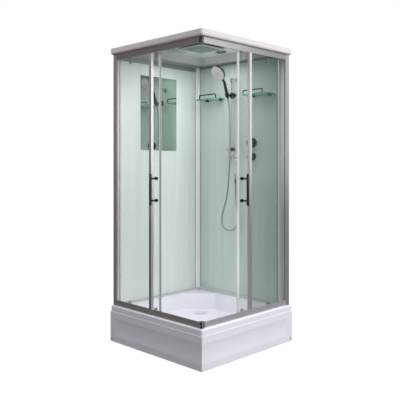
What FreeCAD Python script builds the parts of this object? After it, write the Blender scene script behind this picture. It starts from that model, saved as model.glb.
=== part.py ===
import FreeCAD, Part
import math
import os

# A square corner shower enclosure, in millimetres. The centre of its plan stands on the
# origin with +Z up. The entrance corner points to +X and -Y. The left glazed side lies
# along X at -Y and the right one along Y at +X. Both are drawn once, along X, and the
# right one is mirrored in the upright plane through the entrance and the back corner.

V = FreeCAD.Vector

# Plan and heights
plan_side = 920.0
half_plan = plan_side / 2
frame_setback = 20.0
tray_setback = 4.0
tray_top = 256.0
curb_height = 8.0
rail_height = 40.0
clear_height = 1702.0
fascia_height = 44.0
dome_rise = 46.0
frame_face = half_plan - frame_setback
tray_face = half_plan - tray_setback
deck_top = tray_top - curb_height
lower_rail_top = tray_top + rail_height
upper_rail_foot = lower_rail_top + clear_height
glazed_top = upper_rail_foot + rail_height
roof_edge_top = glazed_top + fascia_height
roof_top = roof_edge_top + dome_rise

# Fits
play = 0.05
hole_play = 0.5
overrun = 5.0

# Tray and basin
tray_wall = 4.0
tray_corner = 14.0
rim_edge_round = 10.0
rim_band = 43.0
skirt_tuck = 6.0
basin_depth = 133.0
basin_wall_margin = 63.0
basin_back_margin = 90.0
basin_front_gap = 12.0
basin_corner = 30.0
basin_back_cut = 195.0
basin_front_cut = 120.0
basin_side_cut = 70.0
basin_floor = deck_top - basin_depth
basin_underside = basin_floor - tray_wall

# Apron round the two open sides
apron_wall = 4.0
apron_foot = 3.0
apron_corner = 9.0
recess_depth = 8.0
lower_border = 43.0
lower_slope = 52.0
recess_flat = 16.0
upper_slope = 57.0
recess_end_margin = 60.0
recess_end_slope = 15.0
apron_lip = 3.0
apron_foot_round = 14.0
apron_top = tray_top - rim_band

# Drain
drain_margin = 232.0
drain_hole_radius = 40.0
drain_cover_radius = 50.0
drain_cover_thick = 4.0
drain_collar_depth = 7.0
drain_holes = 8
drain_hole_small_radius = 6.0
drain_hole_circle = 27.0
drain_flange_radius = 56.0
drain_flange_thick = 4.0
trap_radius = 45.0
trap_wall = 4.0
trap_foot = 34.0
outlet_radius = 20.0
outlet_length = 45.0
outlet_pipe_radius = 17.0
outlet_wall = 3.0
outlet_height = 58.0
outlet_end_gap = 20.0
drain_place = half_plan - drain_margin

# Steel frame and feet under the tray
frame_tube = 25.0
frame_tube_wall = 2.0
frame_margin = 130.0
foot_inset = 30.0
foot_pad_radius = 24.0
foot_pad_height = 12.0
foot_stud_radius = 6.0
foot_nut_radius = 11.0
foot_nut_height = 8.0
frame_half = half_plan - frame_margin
foot_place = frame_half - foot_inset

# Apron fixings
bracket_width = 30.0
bracket_thick = 3.0
bracket_tab = 24.0
bracket_place = 210.0
screw_radius = 3.0
screw_head_radius = 6.0
screw_head_height = 2.0
screw_length = 22.0
screw_height = 22.0
screw_end_margin = 24.0

# Glass and depths, counted inwards from the frame's face
pane_thick = 5.0
gasket_thick = 2.5
rail_wall = 2.0
door_pane_place = 29.0
hanger_thick = 5.0
hanger_gap = 1.0
track_setback = 5.0
rib_gap = 1.0
profile_depth = 12.0
track_thick = 2.0
pane_place = rail_wall + gasket_thick
channel_place = pane_place + pane_thick + gasket_thick
rail_depth = door_pane_place + pane_thick + hanger_thick + hanger_gap + rail_wall
track_place = door_pane_place - track_setback
door_outer = door_pane_place + (pane_thick - profile_depth) / 2
door_inner = door_outer + profile_depth
rib_place = door_outer - rib_gap - track_thick

# Rails
channel_depth = 30.0
rail_inner_wall = 30.0
rail_upstand = 12.0
pane_foot_gap = 4.0
track_lip = 4.0
track_end_gap = 20.0
corner_block = 30.0
corner_block_wall = 23.0
corner_block_round = 4.0

# Wall posts and stiles
post_width = 40.0
post_depth = 20.0
post_overhang = 6.0
post_wall = 2.0
post_lip = 4.0
post_lip_length = 22.0
edge_slot = 12.0
stile_width = 23.0
stile_depth = 20.0
left_stile_edge = -33.0
right_stile_edge = -11.0
post_inner = post_width - frame_face - post_overhang

# Back walls
wall_thick = 5.0
left_wall_inset = 23.0
right_wall_inset = 47.0
wall_base_height = 13.0
wall_base_depth = 40.0
wall_base_back = 5.0
left_trim_height = 34.0
right_trim_height = 12.0
trim_depth = 10.0
corner_cover = 42.0
corner_cover_thick = 4.0
corner_bevel_wide = 24.0
corner_bevel_deep = 9.0
corner_leg = 3.0
corner_leg_reach = 18.0
left_wall = left_wall_inset - half_plan
right_wall = half_plan - right_wall_inset

# Mirror on the left wall
mirror_width = 360.0
mirror_height = 555.0
mirror_drop = 118.0
mirror_centre = -20.0
mirror_thick = 4.0
mirror_foot = glazed_top - mirror_drop - mirror_height

# Sliding doors. The tip is the outer edge of the seal, with the doors at rest partly open.
door_overlap = 5.0
left_tail_gap = 25.0
right_tail_gap = 51.0
door_foot_gap = 16.0
door_head_gap = 3.0
profile_width = 12.0
profile_web = 2.0
seal_gap = 0.5
seal_root = 1.0
door_closed_tip = frame_face - door_outer - seal_gap
door_width = door_closed_tip - left_stile_edge + door_overlap
left_door_tip = left_wall + left_tail_gap + door_width
right_door_tip = right_tail_gap - right_wall + door_width

# Door rollers and guide shoes
lead_roller_setback = 60.0
tail_roller_setback = 115.0
wheel_rim_radius = 11.5
wheel_root_radius = 9.0
wheel_width = 8.0
wheel_groove = 3.0
wheel_gap = 0.3
wheel_web_gap = 1.2
axle_radius = 2.5
axle_head_radius = 4.5
axle_head_thick = 1.5
axle_end_gap = 0.4
hanger_width = 28.0
hanger_arm_width = 16.0
hanger_foot_reach = 13.0
hanger_shoulder_rise = 8.0
hanger_arm_rise = 8.0
hanger_bolt_drop = 20.0
hanger_bolt_radius = 4.0
hanger_cap_radius = 9.0
hanger_cap_thick = 3.0
hanger_boss_radius = 5.0
shoe_width = 24.0
shoe_height = 25.0
shoe_depth = 9.0
shoe_slot_gap = 0.5
shoe_lift = 21.0
shoe_bolt_rise = 21.0
shoe_cap_radius = 11.0
shoe_cap_thick = 4.0
rib_height = 28.0
wheel_axle_height = glazed_top - rail_wall - wheel_web_gap - wheel_rim_radius
track_top = wheel_axle_height - wheel_root_radius - wheel_gap
track_centre = track_place + track_thick / 2

# Door handles
handle_setback = 56.0
handle_foot = 985.0
handle_length = 210.0
handle_radius = 8.5
handle_reach = 50.0
handle_post_radius = 6.0
handle_post_inset = 32.0
handle_rose_radius = 12.0
handle_rose_thick = 5.0
handle_nut_radius = 9.0
handle_nut_thick = 6.0
handle_bolt_radius = 3.0

# Roof and ceiling
roof_wall = 4.0
roof_corner = 16.0
roof_edge_round = 8.0
roof_foot_round = 13.0
roof_ledge = 28.0
dome_foot_margin = 60.0
dome_top_margin = 160.0
ceiling_thick = 4.0
ceiling_margin = 15.0
recess_margin = 130.0
recess_draft = 30.0
ceiling_recess_rise = 48.0
ceiling_underside = glazed_top + roof_wall
recess_underside = ceiling_underside + ceiling_recess_rise
recess_foot_half = half_plan - recess_margin
recess_top_half = recess_foot_half - recess_draft

# Rain shower, light and vent
rain_half = 120.0
rain_thick = 8.0
rain_neck_radius = 50.0
rain_neck = 6.0
rain_inlet_gap = 2.0
rain_corner = 12.0
rain_hub_radius = 12.0
rain_hub_height = 32.0
rain_inlet_radius = 9.5
rain_inlet_reach = 24.0
nozzle_count = 9
nozzle_pitch = 24.0
nozzle_radius = 2.5
nozzle_drop = 2.0
nozzle_mat = 1.0
light_x = -6.0
light_edge_gap = 48.0
light_radius = 40.0
light_lens_radius = 30.0
light_thick = 5.0
lens_thick = 3.0
light_y = recess_top_half - light_edge_gap - light_radius
vent_edge_gap = 18.0
vent_y = -40.0
vent_radius = 70.0
vent_thick = 5.0
vent_ring = 7.0
vent_ring_pitch = 15.0
vent_rings = 4
vent_hub_radius = 10.0
vent_spoke = 6.0
vent_x = vent_edge_gap + vent_radius - recess_top_half

# Shower set on the right wall
riser_x = -26.0
riser_radius = 10.0
riser_standoff = 50.0
riser_drop = 132.0
riser_foot_gap = 112.0
outlet_x = -18.0
outlet_z = 1184.0
riser_wall = 1.5
hub_radius = 17.0
hub_height = 30.0
hub_inset = 11.0
arm_radius = 8.0
rose_radius = 23.0
rose_thick = 5.0
cap_reach = 21.0
cap_radius = 9.0
slider_height = 44.0
slider_radius = 19.0
slider_drop = 127.0
knob_radius = 11.0
knob_reach = 24.0
cheek_thick = 4.0
cheek_half_height = 7.0
lug_half_width = 8.0
lug_radius = 7.5
lug_gap = 0.3
pivot_pin_radius = 3.0
pivot_reach = 37.0
holder_reach = 60.0
holder_lean = 18.0
holder_height = 30.0
holder_top_radius = 18.0
holder_foot_radius = 15.5
nut_top_radius = 12.5
nut_foot_radius = 9.5
nut_above = 16.0
nut_below = 26.0
riser_head = glazed_top - riser_drop
riser_foot = outlet_z + riser_foot_gap
slider_z = riser_head - slider_drop

# Handset. Its rise and reach are from the centre of the holder.
grip_radius = 11.0
grip_length = 95.0
neck_radius = 13.0
head_radius = 60.0
head_thick = 13.0
head_back = 14.0
head_back_radius = 34.0
head_reach = 106.0
head_rise = 150.0
head_tilt = 35.0
head_neck_drop = 24.0
face_radius = 50.0
face_recess = 2.0
spray_rings = 3
spray_pitch = 14.0
spray_radius = 2.0

# Hose. The route runs from the nut under the handset to the nut of the wall outlet.
hose_diameter = 13.0
outlet_standoff = 26.0
elbow_radius = 11.0
elbow_drop = 34.0
elbow_rose_radius = 22.0
outlet_nut_top_radius = 12.5
outlet_nut_foot_radius = 9.5
outlet_nut_height = 38.0
elbow_tail_radius = 8.0
bend_share = 0.45
hose_route = [
    (-26.0, 311.05, 1754.226),
    (-26.0, 322.669, 1718.466),
    (-24.0, 329.5, 1653.0),
    (-21.0, 331.0, 1510.0),
    (-22.0, 331.5, 1330.0),
    (-36.0, 334.0, 1200.0),
    (-50.0, 339.0, 1060.0),
    (-88.0, 346.5, 945.0),
    (-124.5, 351.5, 868.0),
    (-129.0, 355.5, 798.0),
    (-101.0, 359.5, 757.5),
    (-61.0, 364.0, 751.5),
    (-18.0, 369.0, 760.0),
    (17.0, 375.0, 802.0),
    (23.0, 380.5, 868.0),
    (4.0, 384.0, 925.0),
    (-18.0, 387.0, 1000.0),
    (-18.0, 387.0, 1111.95),
]

# Soap dish
dish_width = 108.0
dish_depth = 82.0
dish_height = 18.0
dish_wall = 3.0
dish_corner = 14.0
dish_gap = 8.0
dish_lift = 66.0
dish_collar_height = 22.0
dish_collar_radius = 14.0
dish_z = riser_foot + dish_lift

# Glass shelves
shelf_depth = 110.0
shelf_thick = 6.0
shelf_wall_gap = 4.0
shelf_drop = 273.0
shelf_corner = 25.0
left_shelf_gap = 65.0
left_shelf_width = 227.0
right_shelf_gap = 80.0
right_shelf_width = 232.0
clip_width = 16.0
clip_depth = 24.0
clip_height = 22.0
clip_inset = 42.0
gallery_radius = 4.0
gallery_rise = 30.0
gallery_inset = 12.0
gallery_riser_side_inset = 12.0
gallery_wall_side_inset = 40.0
shelf_height = glazed_top - shelf_drop
left_shelf_start = left_wall + left_shelf_gap
right_shelf_start = frame_face - post_depth - right_shelf_gap - right_shelf_width

# Mixer
mixer_x = 136.0
mixer_knob_z = 1420.0
diverter_z = 1315.0
mixer_plate_radius = 34.0
diverter_plate_radius = 28.0
plate_thick = 5.0
knob_gap = 0.5
mixer_knob_radius = 27.0
diverter_knob_radius = 23.0
knob_length = 42.0
knob_flare = 3.0
knob_edge = 3.0
grip_notches = 12
notch_radius = 3.0
lever_length = 26.0
lever_radius = 4.0
lever_tip_radius = 5.0
spindle_radius = 9.0
spindle_reach = 22.0
body_half_width = 30.0
body_back_gap = 2.0
body_depth = 26.0
body_margin = 40.0
inlet_radius = 10.3
inlet_length = 30.0
inlet_drop = 20.0
inlet_spread = 55.0
inlet_setback = 16.5
inlet_bore = 7.5

# Pipes behind the right wall and above the ceiling
pipe_radius = 8.0
pipe_bend = 14.0
pipe_setback = 14.0
pipe_ledge_gap = 16.0
pipe_coupling_drop = 20.0
pipe_turn_reach = 42.0
pipe_climb_gap = 2.0
pipe_side_y = 60.0
side_pipe_drop = 15.0
side_pipe_z = diverter_z - side_pipe_drop


def box(x0, x1, y0, y1, z0, z1):
    """Box between two corners."""
    return Part.makeBox(x1 - x0, y1 - y0, z1 - z0, V(x0, y0, z0))


def rod(start, end, radius):
    """Cylinder from start to end."""
    axis = end - start
    return Part.makeCylinder(radius, axis.Length, start, axis)


def pipe_piece(start, end, radius, wall):
    """Hollow cylinder from start to end."""
    return rod(start, end, radius).cut(rod(start, end, radius - wall))


def taper(start, end, start_radius, end_radius):
    """Round taper from start to end."""
    axis = end - start
    return Part.makeCone(start_radius, end_radius, axis.Length, start, axis)


def joined(solids):
    """Solids that touch, welded into one."""
    return solids[0].multiFuse(solids[1:]).removeSplitter()


def plate(points, z0, z1):
    """Upright prism on a plan outline."""
    corners = [V(x, y, z0) for x, y in points]
    face = Part.Face(Part.makePolygon(corners + corners[:1]))
    return face.extrude(V(0, 0, z1 - z0))


def rounded_wire(points, radius, z):
    """Closed plan outline whose corners are arcs of the radius."""
    count = len(points)
    edges = []
    arcs = []
    for i in range(count):
        corner = V(points[i][0], points[i][1], z)
        before = V(points[i - 1][0], points[i - 1][1], z) - corner
        after = V(points[(i + 1) % count][0], points[(i + 1) % count][1], z) - corner
        before.normalize()
        after.normalize()
        half_angle = before.getAngle(after) / 2
        reach = radius / math.tan(half_angle)
        middle = before + after
        middle.normalize()
        deep = corner + middle * (radius / math.sin(half_angle) - radius)
        arcs.append((corner + before * reach, deep, corner + after * reach))
    for i in range(count):
        edges.append(Part.Arc(*arcs[i]).toShape())
        edges.append(Part.LineSegment(arcs[i][2], arcs[(i + 1) % count][0]).toShape())
    return Part.Wire(edges)


def rounded_plate(points, radius, z0, z1):
    """Upright prism with rounded corners."""
    return Part.Face(rounded_wire(points, radius, z0)).extrude(V(0, 0, z1 - z0))


def square(half):
    """Corners of a square plan round the origin."""
    return [(-half, -half), (half, -half), (half, half), (-half, half)]


def square_frustum(low_half, high_half, z0, z1):
    """Four-sided block that narrows upwards."""
    wires = []
    for half, z in ((low_half, z0), (high_half, z1)):
        corners = [V(x, y, z) for x, y in square(half)]
        wires.append(Part.makePolygon(corners + corners[:1]))
    return Part.makeLoft(wires, True, True)


def turned(points, base, axis):
    """Solid of revolution from (radius, height) points, its height running along the axis."""
    corners = [V(r, 0, h) for r, h in points]
    face = Part.Face(Part.makePolygon(corners + corners[:1]))
    solid = face.revolve(V(0, 0, 0), V(0, 0, 1), 360)
    turn = FreeCAD.Rotation(V(0, 0, 1), axis)
    solid.Placement = FreeCAD.Placement(base, turn)
    return solid


def bent_path(points, radii):
    """Straight runs joined by tangent arcs."""
    edges = []
    start = points[0]
    for i in range(1, len(points) - 1):
        before = points[i - 1] - points[i]
        after = points[i + 1] - points[i]
        before.normalize()
        after.normalize()
        half_angle = before.getAngle(after) / 2
        reach = radii[i - 1] / math.tan(half_angle)
        middle = before + after
        middle.normalize()
        enter = points[i] + before * reach
        deep = points[i] + middle * (radii[i - 1] / math.sin(half_angle) - radii[i - 1])
        leave = points[i] + after * reach
        edges.append(Part.LineSegment(start, enter).toShape())
        edges.append(Part.Arc(enter, deep, leave).toShape())
        start = leave
    edges.append(Part.LineSegment(start, points[-1]).toShape())
    return Part.Wire(edges)


def swept_rod(path, start, ahead, radius):
    """Round bar along a path."""
    ring = Part.Wire([Part.makeCircle(radius, start, ahead - start)])
    return path.makePipeShell([ring], True, False)


def bent_rod(points, radius, bend):
    """Round bar through points, every bend of one radius."""
    path = bent_path(points, [bend] * (len(points) - 2))
    return swept_rod(path, points[0], points[1], radius)


def mirrored(shape):
    """The shape carried from the left glazed side to the right one."""
    return shape.mirror(V(0, 0, 0), V(1, 1, 0))


def depth_box(x0, x1, d0, d1, z0, z1):
    """Box on the left glazed side, its depth counted inwards from the frame's face."""
    return box(x0, x1, d0 - frame_face, d1 - frame_face, z0, z1)


def across(x, d, z):
    """Point on the left glazed side, its depth counted inwards from the frame's face."""
    return V(x, d - frame_face, z)


def at_depth(x, d0, d1, z, radius):
    """Cylinder square to the left glazed side."""
    return rod(across(x, d0, z), across(x, d1, z), radius)


# Tray, apron and what stands under them

def basin_points():
    """Plan corners of the basin, an uneven octagon."""
    left = basin_wall_margin - half_plan
    back = half_plan - basin_back_margin
    front = rail_depth + basin_front_gap - frame_face
    right = -front
    return [
        (left + basin_side_cut, front), (right - basin_front_cut, front),
        (right, front + basin_front_cut), (right, back - basin_side_cut),
        (right - basin_side_cut, back), (left + basin_back_cut, back),
        (left, back - basin_back_cut), (left, front + basin_side_cut),
    ]


def tray():
    """Acrylic tray: deck with a curb under the glazed sides, skirt and deep basin."""
    inner_curb = rail_depth - frame_face
    deck_foot = deck_top - tray_wall
    rim = rounded_plate(square(tray_face), tray_corner, deck_foot, tray_top)
    rim = rim.makeFillet(rim_edge_round, [e for e in rim.Edges if e.BoundBox.ZMin > tray_top - play])
    lowered = box(-half_plan, -inner_curb, inner_curb, half_plan, deck_top, tray_top + overrun)
    skirt_foot = apron_top - skirt_tuck
    skirt = rounded_plate(square(tray_face), tray_corner, skirt_foot, deck_foot)
    skirt_inside = rounded_plate(
        square(tray_face - tray_wall), tray_corner - tray_wall, skirt_foot, deck_foot)
    outline = rounded_wire(basin_points(), basin_corner, basin_underside)
    shell = Part.Face(outline.makeOffset2D(tray_wall)).extrude(V(0, 0, deck_top - basin_underside))
    hollow = rounded_plate(basin_points(), basin_corner, basin_floor, tray_top)
    hole_centre = V(-drain_place, drain_place, basin_underside)
    hole = rod(hole_centre, hole_centre + V(0, 0, tray_wall), drain_hole_radius)
    solid = joined([rim.cut(lowered), skirt.cut(skirt_inside), shell])
    return solid.cut(hollow).cut(hole)


def apron_section(face):
    """Outline of the apron's core across a side, as (outward, height) points."""
    z1 = apron_foot + lower_border
    z2 = z1 + lower_slope
    z3 = z2 + recess_flat
    z4 = z3 + upper_slope
    sunk = face - recess_depth
    return [(0, apron_foot), (face, apron_foot), (face, z1), (sunk, z2),
            (sunk, z3), (face, z4), (face, apron_top), (0, apron_top)]


def apron_core(face):
    """Block behind one skin of the apron, sunk along both open sides."""
    left_corners = [V(-half_plan, -y, z) for y, z in apron_section(face)]
    right_corners = [V(x, half_plan, z) for x, z in apron_section(face)]
    left = Part.Face(Part.makePolygon(left_corners + left_corners[:1]))
    left = left.extrude(V(plan_side, 0, 0))
    right = Part.Face(Part.makePolygon(right_corners + right_corners[:1]))
    right = right.extrude(V(0, -plan_side, 0))
    end = recess_end_margin - half_plan
    slope_end = end + recess_end_slope
    end_plan = [(-half_plan, -face), (end, -face), (slope_end, recess_depth - face),
                (slope_end, 0), (-half_plan, 0)]
    left_end = plate(end_plan, apron_foot, apron_top)
    right_end = mirrored(left_end)
    left_filler = box(-half_plan, half_plan, 0, half_plan, apron_foot, apron_top)
    right_filler = box(-half_plan, 0, -half_plan, half_plan, apron_foot, apron_top)
    across_left = joined([left, left_end, left_filler])
    across_right = joined([right, right_end, right_filler])
    return across_left.common(across_right)


def apron():
    """L-shaped skirt with one sunk panel that wraps round the entrance corner."""
    skin = apron_core(half_plan).cut(apron_core(half_plan - apron_wall))
    plan = rounded_plate(square(half_plan), apron_corner, apron_foot, apron_top)
    lip_inside = tray_face + hole_play
    lip = box(-half_plan, half_plan, -half_plan, half_plan, apron_top - apron_lip, apron_top)
    around_tray = [(-plan_side, -lip_inside), (lip_inside, -lip_inside), (lip_inside, plan_side),
                   (-plan_side, plan_side)]
    lip = lip.cut(rounded_plate(around_tray, tray_corner, apron_top - apron_lip, apron_top))
    solid = joined([skin, lip]).common(plan)
    for cut in (apron_foot_cut(), apron_screw_shank(screw_radius + hole_play)):
        solid = solid.cut(cut).cut(mirrored(cut))
    return solid


def apron_foot_cut():
    """What rounds the apron's lower far corner on the left side."""
    corner = box(-half_plan, apron_foot_round - half_plan, -half_plan, -tray_face + tray_wall,
                 apron_foot, apron_foot + apron_foot_round)
    centre = V(apron_foot_round - half_plan, -half_plan, apron_foot + apron_foot_round)
    return corner.cut(rod(centre, centre + V(0, half_plan, 0), apron_foot_round))


def drain_cover():
    """Cover with a ring of holes in the floor of the basin."""
    centre = V(-drain_place, drain_place, basin_floor)
    up = V(0, 0, drain_cover_thick)
    disc = rod(centre, centre + up, drain_cover_radius)
    collar_foot = centre - V(0, 0, drain_collar_depth)
    collar = pipe_piece(collar_foot, centre, drain_hole_radius - play, trap_wall)
    holes = []
    for i in range(drain_holes):
        angle = 2 * math.pi * i / drain_holes
        place = centre + V(math.cos(angle), math.sin(angle), 0) * drain_hole_circle
        holes.append(rod(place, place + up, drain_hole_small_radius))
    holes.append(rod(centre, centre + up, drain_hole_small_radius))
    return joined([disc, collar]).cut(Part.makeCompound(holes))


def drain_trap():
    """Trap below the basin with its flange and the outlet pipe to the left wall side."""
    centre = V(-drain_place, drain_place, 0)
    flange = rod(centre + V(0, 0, basin_underside - drain_flange_thick),
                 centre + V(0, 0, basin_underside), drain_flange_radius)
    cup = rod(centre + V(0, 0, trap_foot), centre + V(0, 0, basin_underside), trap_radius)
    outlet_start = centre + V(0, 0, outlet_height)
    outlet_finish = V(outlet_end_gap - half_plan, drain_place, outlet_height)
    outlet = rod(outlet_start, outlet_finish, outlet_pipe_radius)
    spigot = rod(outlet_finish + V(outlet_length, 0, 0), outlet_finish, outlet_radius)
    inside = rod(centre + V(0, 0, trap_foot + trap_wall), centre + V(0, 0, basin_underside),
                 trap_radius - trap_wall)
    bore = rod(outlet_start, outlet_finish, outlet_pipe_radius - outlet_wall)
    return joined([flange, cup, outlet, spigot]).cut(inside).cut(bore)


def square_tube(x0, x1, y0, y1, along_x):
    """Box section under the basin, hollow along its length."""
    top = basin_underside
    foot = top - frame_tube
    outside = box(x0, x1, y0, y1, foot, top)
    w = frame_tube_wall
    if along_x:
        return outside.cut(box(x0, x1, y0 + w, y1 - w, foot + w, top - w))
    return outside.cut(box(x0 + w, x1 - w, y0, y1, foot + w, top - w))


def tray_frame():
    """Square steel frame of seven tubes, tight under the basin."""
    half = frame_tube / 2
    inner = frame_half - half
    bars = []
    for place in (-frame_half, 0, frame_half):
        bars.append(square_tube(-frame_half - half, frame_half + half, place - half, place + half, True))
    for place in (-frame_half, frame_half):
        bars.append(square_tube(place - half, place + half, half, inner, False))
        bars.append(square_tube(place - half, place + half, -inner, -half, False))
    return Part.makeCompound(bars)


def foot_places():
    """Plan places of the adjustable feet: the corners and the middle tube."""
    corners = [(sx * foot_place, sy * frame_half) for sx in (-1, 1) for sy in (-1, 1)]
    return corners + [(-foot_place, 0), (0, 0), (foot_place, 0)]


def adjustable_feet():
    """Threaded feet with pads and lock nuts."""
    frame_foot = basin_underside - frame_tube
    feet = []
    for x, y in foot_places():
        pad = rod(V(x, y, 0), V(x, y, foot_pad_height), foot_pad_radius)
        stud = rod(V(x, y, foot_pad_height), V(x, y, frame_foot), foot_stud_radius)
        nut = rod(V(x, y, frame_foot - foot_nut_height), V(x, y, frame_foot), foot_nut_radius)
        feet.append(joined([pad, stud, nut]))
    return Part.makeCompound(feet)


def apron_bracket(x):
    """Angle that ties the frame to the back of the left side's sunk panel."""
    frame_front = -frame_half - frame_tube / 2
    skin_back = recess_depth + apron_wall - half_plan
    top = basin_underside
    half = bracket_width / 2
    arm = box(x - half, x + half, skin_back, frame_front, top - bracket_thick, top)
    near = box(x - half, x + half, frame_front - bracket_thick, frame_front, top - bracket_tab, top)
    far = box(x - half, x + half, skin_back, skin_back + bracket_thick, top - bracket_tab, top)
    return joined([arm, near, far])


def apron_screw_shank(radius):
    """Shank of the screw near the left side's lower far corner."""
    start = V(screw_end_margin - half_plan, -half_plan, screw_height)
    return rod(start, start + V(0, screw_length, 0), radius)


def apron_fixings():
    """Brackets behind the apron and the screws near its far lower corners."""
    pieces = []
    x = screw_end_margin - half_plan
    start = V(x, -half_plan, screw_height)
    block = box(x - bracket_width / 2, x + bracket_width / 2, apron_wall - half_plan,
                apron_wall - half_plan + bracket_width, apron_foot, screw_height + bracket_width / 2)
    shank = apron_screw_shank(screw_radius)
    head = rod(start - V(0, screw_head_height, 0), start, screw_head_radius)
    screw = joined([shank, head])
    for piece in (apron_bracket(-bracket_place), apron_bracket(bracket_place), block.cut(shank), screw):
        pieces.append(piece)
        pieces.append(mirrored(piece))
    return Part.makeCompound(pieces)


# Rails, posts, stiles and fixed glass of one glazed side

def bar_of(boxes, x0, x1):
    """Rail along the left side from (depth, depth, height, height) boxes."""
    return joined([depth_box(x0, x1, d0, d1, z0, z1) for d0, d1, z0, z1 in boxes])


def rail_span():
    """Ends of the rails: at the wall post and at the corner block."""
    return post_inner, frame_face - corner_block


def mitre():
    """What both rails lose behind the corner block, where they meet on the diagonal."""
    near = frame_face - corner_block
    far = frame_face - rail_depth
    return plate([(far, -far), (near, -near), (near, -far)], tray_top, glazed_top)


def top_rail():
    """Upper rail: glass channel outside, roller track behind it."""
    x0, x1 = rail_span()
    flange_top = track_top - track_lip
    channel_foot = glazed_top - channel_depth
    shared = [
        (0, rail_wall, upper_rail_foot, glazed_top),
        (0, rail_depth, glazed_top - rail_wall, glazed_top),
        (channel_place, channel_place + rail_wall, channel_foot, glazed_top),
        (rail_depth - rail_wall, rail_depth, glazed_top - rail_inner_wall, glazed_top),
    ]
    track = [
        (channel_place, track_place + track_thick, flange_top - rail_wall, flange_top),
        (track_place, track_place + track_thick, flange_top - rail_wall, track_top),
    ]
    return joined([bar_of(shared, x0, x1), bar_of(track, x0, x1 - track_end_gap)]).cut(mitre())


def bottom_rail():
    """Lower rail: glass channel outside, guide rib and small upstand behind it."""
    x0, x1 = rail_span()
    shared = [
        (0, rail_depth, tray_top, tray_top + rail_wall),
        (0, rail_wall, tray_top, lower_rail_top),
        (channel_place, channel_place + rail_wall, tray_top, tray_top + channel_depth),
        (rail_depth - rail_wall, rail_depth, tray_top, tray_top + rail_upstand),
    ]
    rib = [(rib_place, rib_place + track_thick, tray_top, tray_top + rib_height)]
    return joined([bar_of(shared, x0, x1), bar_of(rib, x0, x1 - track_end_gap)]).cut(mitre())


def corner_block_at(z0, z1):
    """Moulded L-shaped block that joins the two rails at the entrance corner."""
    outer = frame_face
    inner = frame_face - corner_block
    notch = frame_face - corner_block_wall
    block = plate([(inner, -outer), (outer, -outer), (outer, -inner), (notch, -inner),
                   (notch, -notch), (inner, -notch)], z0, z1)
    upright = [e for e in block.Edges
               if e.BoundBox.ZLength > play and e.BoundBox.XMin > outer - play and e.BoundBox.YMax < play - outer]
    return block.makeFillet(corner_block_round, upright)


def wall_post(wall_inset):
    """Post at the wall: a slotted box that holds the fixed pane, with lips for the wall panel."""
    x0 = -frame_face - post_overhang
    x1 = post_inner
    panel_inside = wall_inset - half_plan
    panel_outside = panel_inside - wall_thick
    outside = depth_box(x0, x1, 0, post_depth, tray_top, glazed_top)
    hollow = depth_box(x0 + post_wall, x1 - edge_slot - post_wall, post_wall,
                       post_depth - post_wall, tray_top, glazed_top)
    slot = depth_box(x1 - edge_slot, x1, pane_place, pane_place + pane_thick, tray_top, glazed_top)
    outer_lip = depth_box(panel_outside - post_lip, panel_outside, post_depth,
                          post_depth + post_lip_length, tray_top, glazed_top)
    inner_lip = depth_box(panel_inside, panel_inside + post_lip, post_depth,
                          post_depth + post_lip_length, tray_top, glazed_top)
    return joined([outside.cut(hollow).cut(slot), outer_lip, inner_lip])


def stile(edge):
    """Upright on the free edge of the fixed pane."""
    outside = depth_box(edge - stile_width, edge, 0, stile_depth, lower_rail_top, upper_rail_foot)
    slot = depth_box(edge - stile_width, edge - stile_width + edge_slot, pane_place,
                     pane_place + pane_thick, lower_rail_top, upper_rail_foot)
    return outside.cut(slot)


def fixed_glass(edge):
    """Fixed pane from the post's slot to the stile's slot."""
    return depth_box(post_inner - edge_slot, edge - stile_width + edge_slot, pane_place,
                     pane_place + pane_thick, tray_top + rail_wall + pane_foot_gap,
                     glazed_top - rail_wall - pane_foot_gap)


def gaskets(edge):
    """Four strips beside the fixed pane, in the channels of the two rails."""
    end = edge - stile_width + edge_slot
    strips = []
    inner_place = pane_place + pane_thick
    for z0, z1 in ((tray_top + rail_wall, tray_top + channel_depth),
                   (glazed_top - channel_depth, glazed_top - rail_wall)):
        strips.append(depth_box(post_inner, end, rail_wall, pane_place, z0, z1))
        strips.append(depth_box(post_inner, end, inner_place, channel_place, z0, z1))
    return strips


# One sliding door, drawn on the left side for a given place of its tip

def door_foot():
    return tray_top + door_foot_gap


def door_head():
    return upper_rail_foot - door_head_gap


def seal_length():
    """Width of the mitred seal at its outer face."""
    return seal_root + profile_depth


def door_glass(tip):
    """Sliding pane with the holes for its rollers, shoes and handle."""
    x1 = tip - seal_length() - profile_web
    x0 = tip - door_width + profile_web
    d0 = door_pane_place
    d1 = door_pane_place + pane_thick
    pane = depth_box(x0, x1, d0, d1, door_foot(), door_head())
    for x in roller_places(tip):
        pane = pane.cut(at_depth(x, d0, d1, hanger_bolt_height(), hanger_bolt_radius + play))
        pane = pane.cut(at_depth(x, d0, d1, shoe_bolt_height(), hanger_bolt_radius + play))
    for z in handle_post_heights():
        pane = pane.cut(at_depth(tip - handle_setback, d0, d1, z, handle_bolt_radius + play))
    return pane


def edge_profile(x0, x1, glass_side):
    """Aluminium edge of the door, slotted for the pane on its glass side."""
    body = depth_box(x0, x1, door_outer, door_inner, door_foot(), door_head())
    if glass_side < 0:
        slot_x0, slot_x1 = x0, x1 - profile_web
    else:
        slot_x0, slot_x1 = x0 + profile_web, x1
    slot = depth_box(slot_x0, slot_x1, door_pane_place, door_pane_place + pane_thick,
                     door_foot(), door_head())
    return body.cut(slot)


def door_profiles(tip):
    """Leading and trailing edge profiles."""
    lead_end = tip - seal_length()
    tail_end = tip - door_width
    lead = edge_profile(lead_end - profile_width, lead_end, -1)
    tail = edge_profile(tail_end, tail_end + profile_width, 1)
    return Part.makeCompound([lead, tail])


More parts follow.
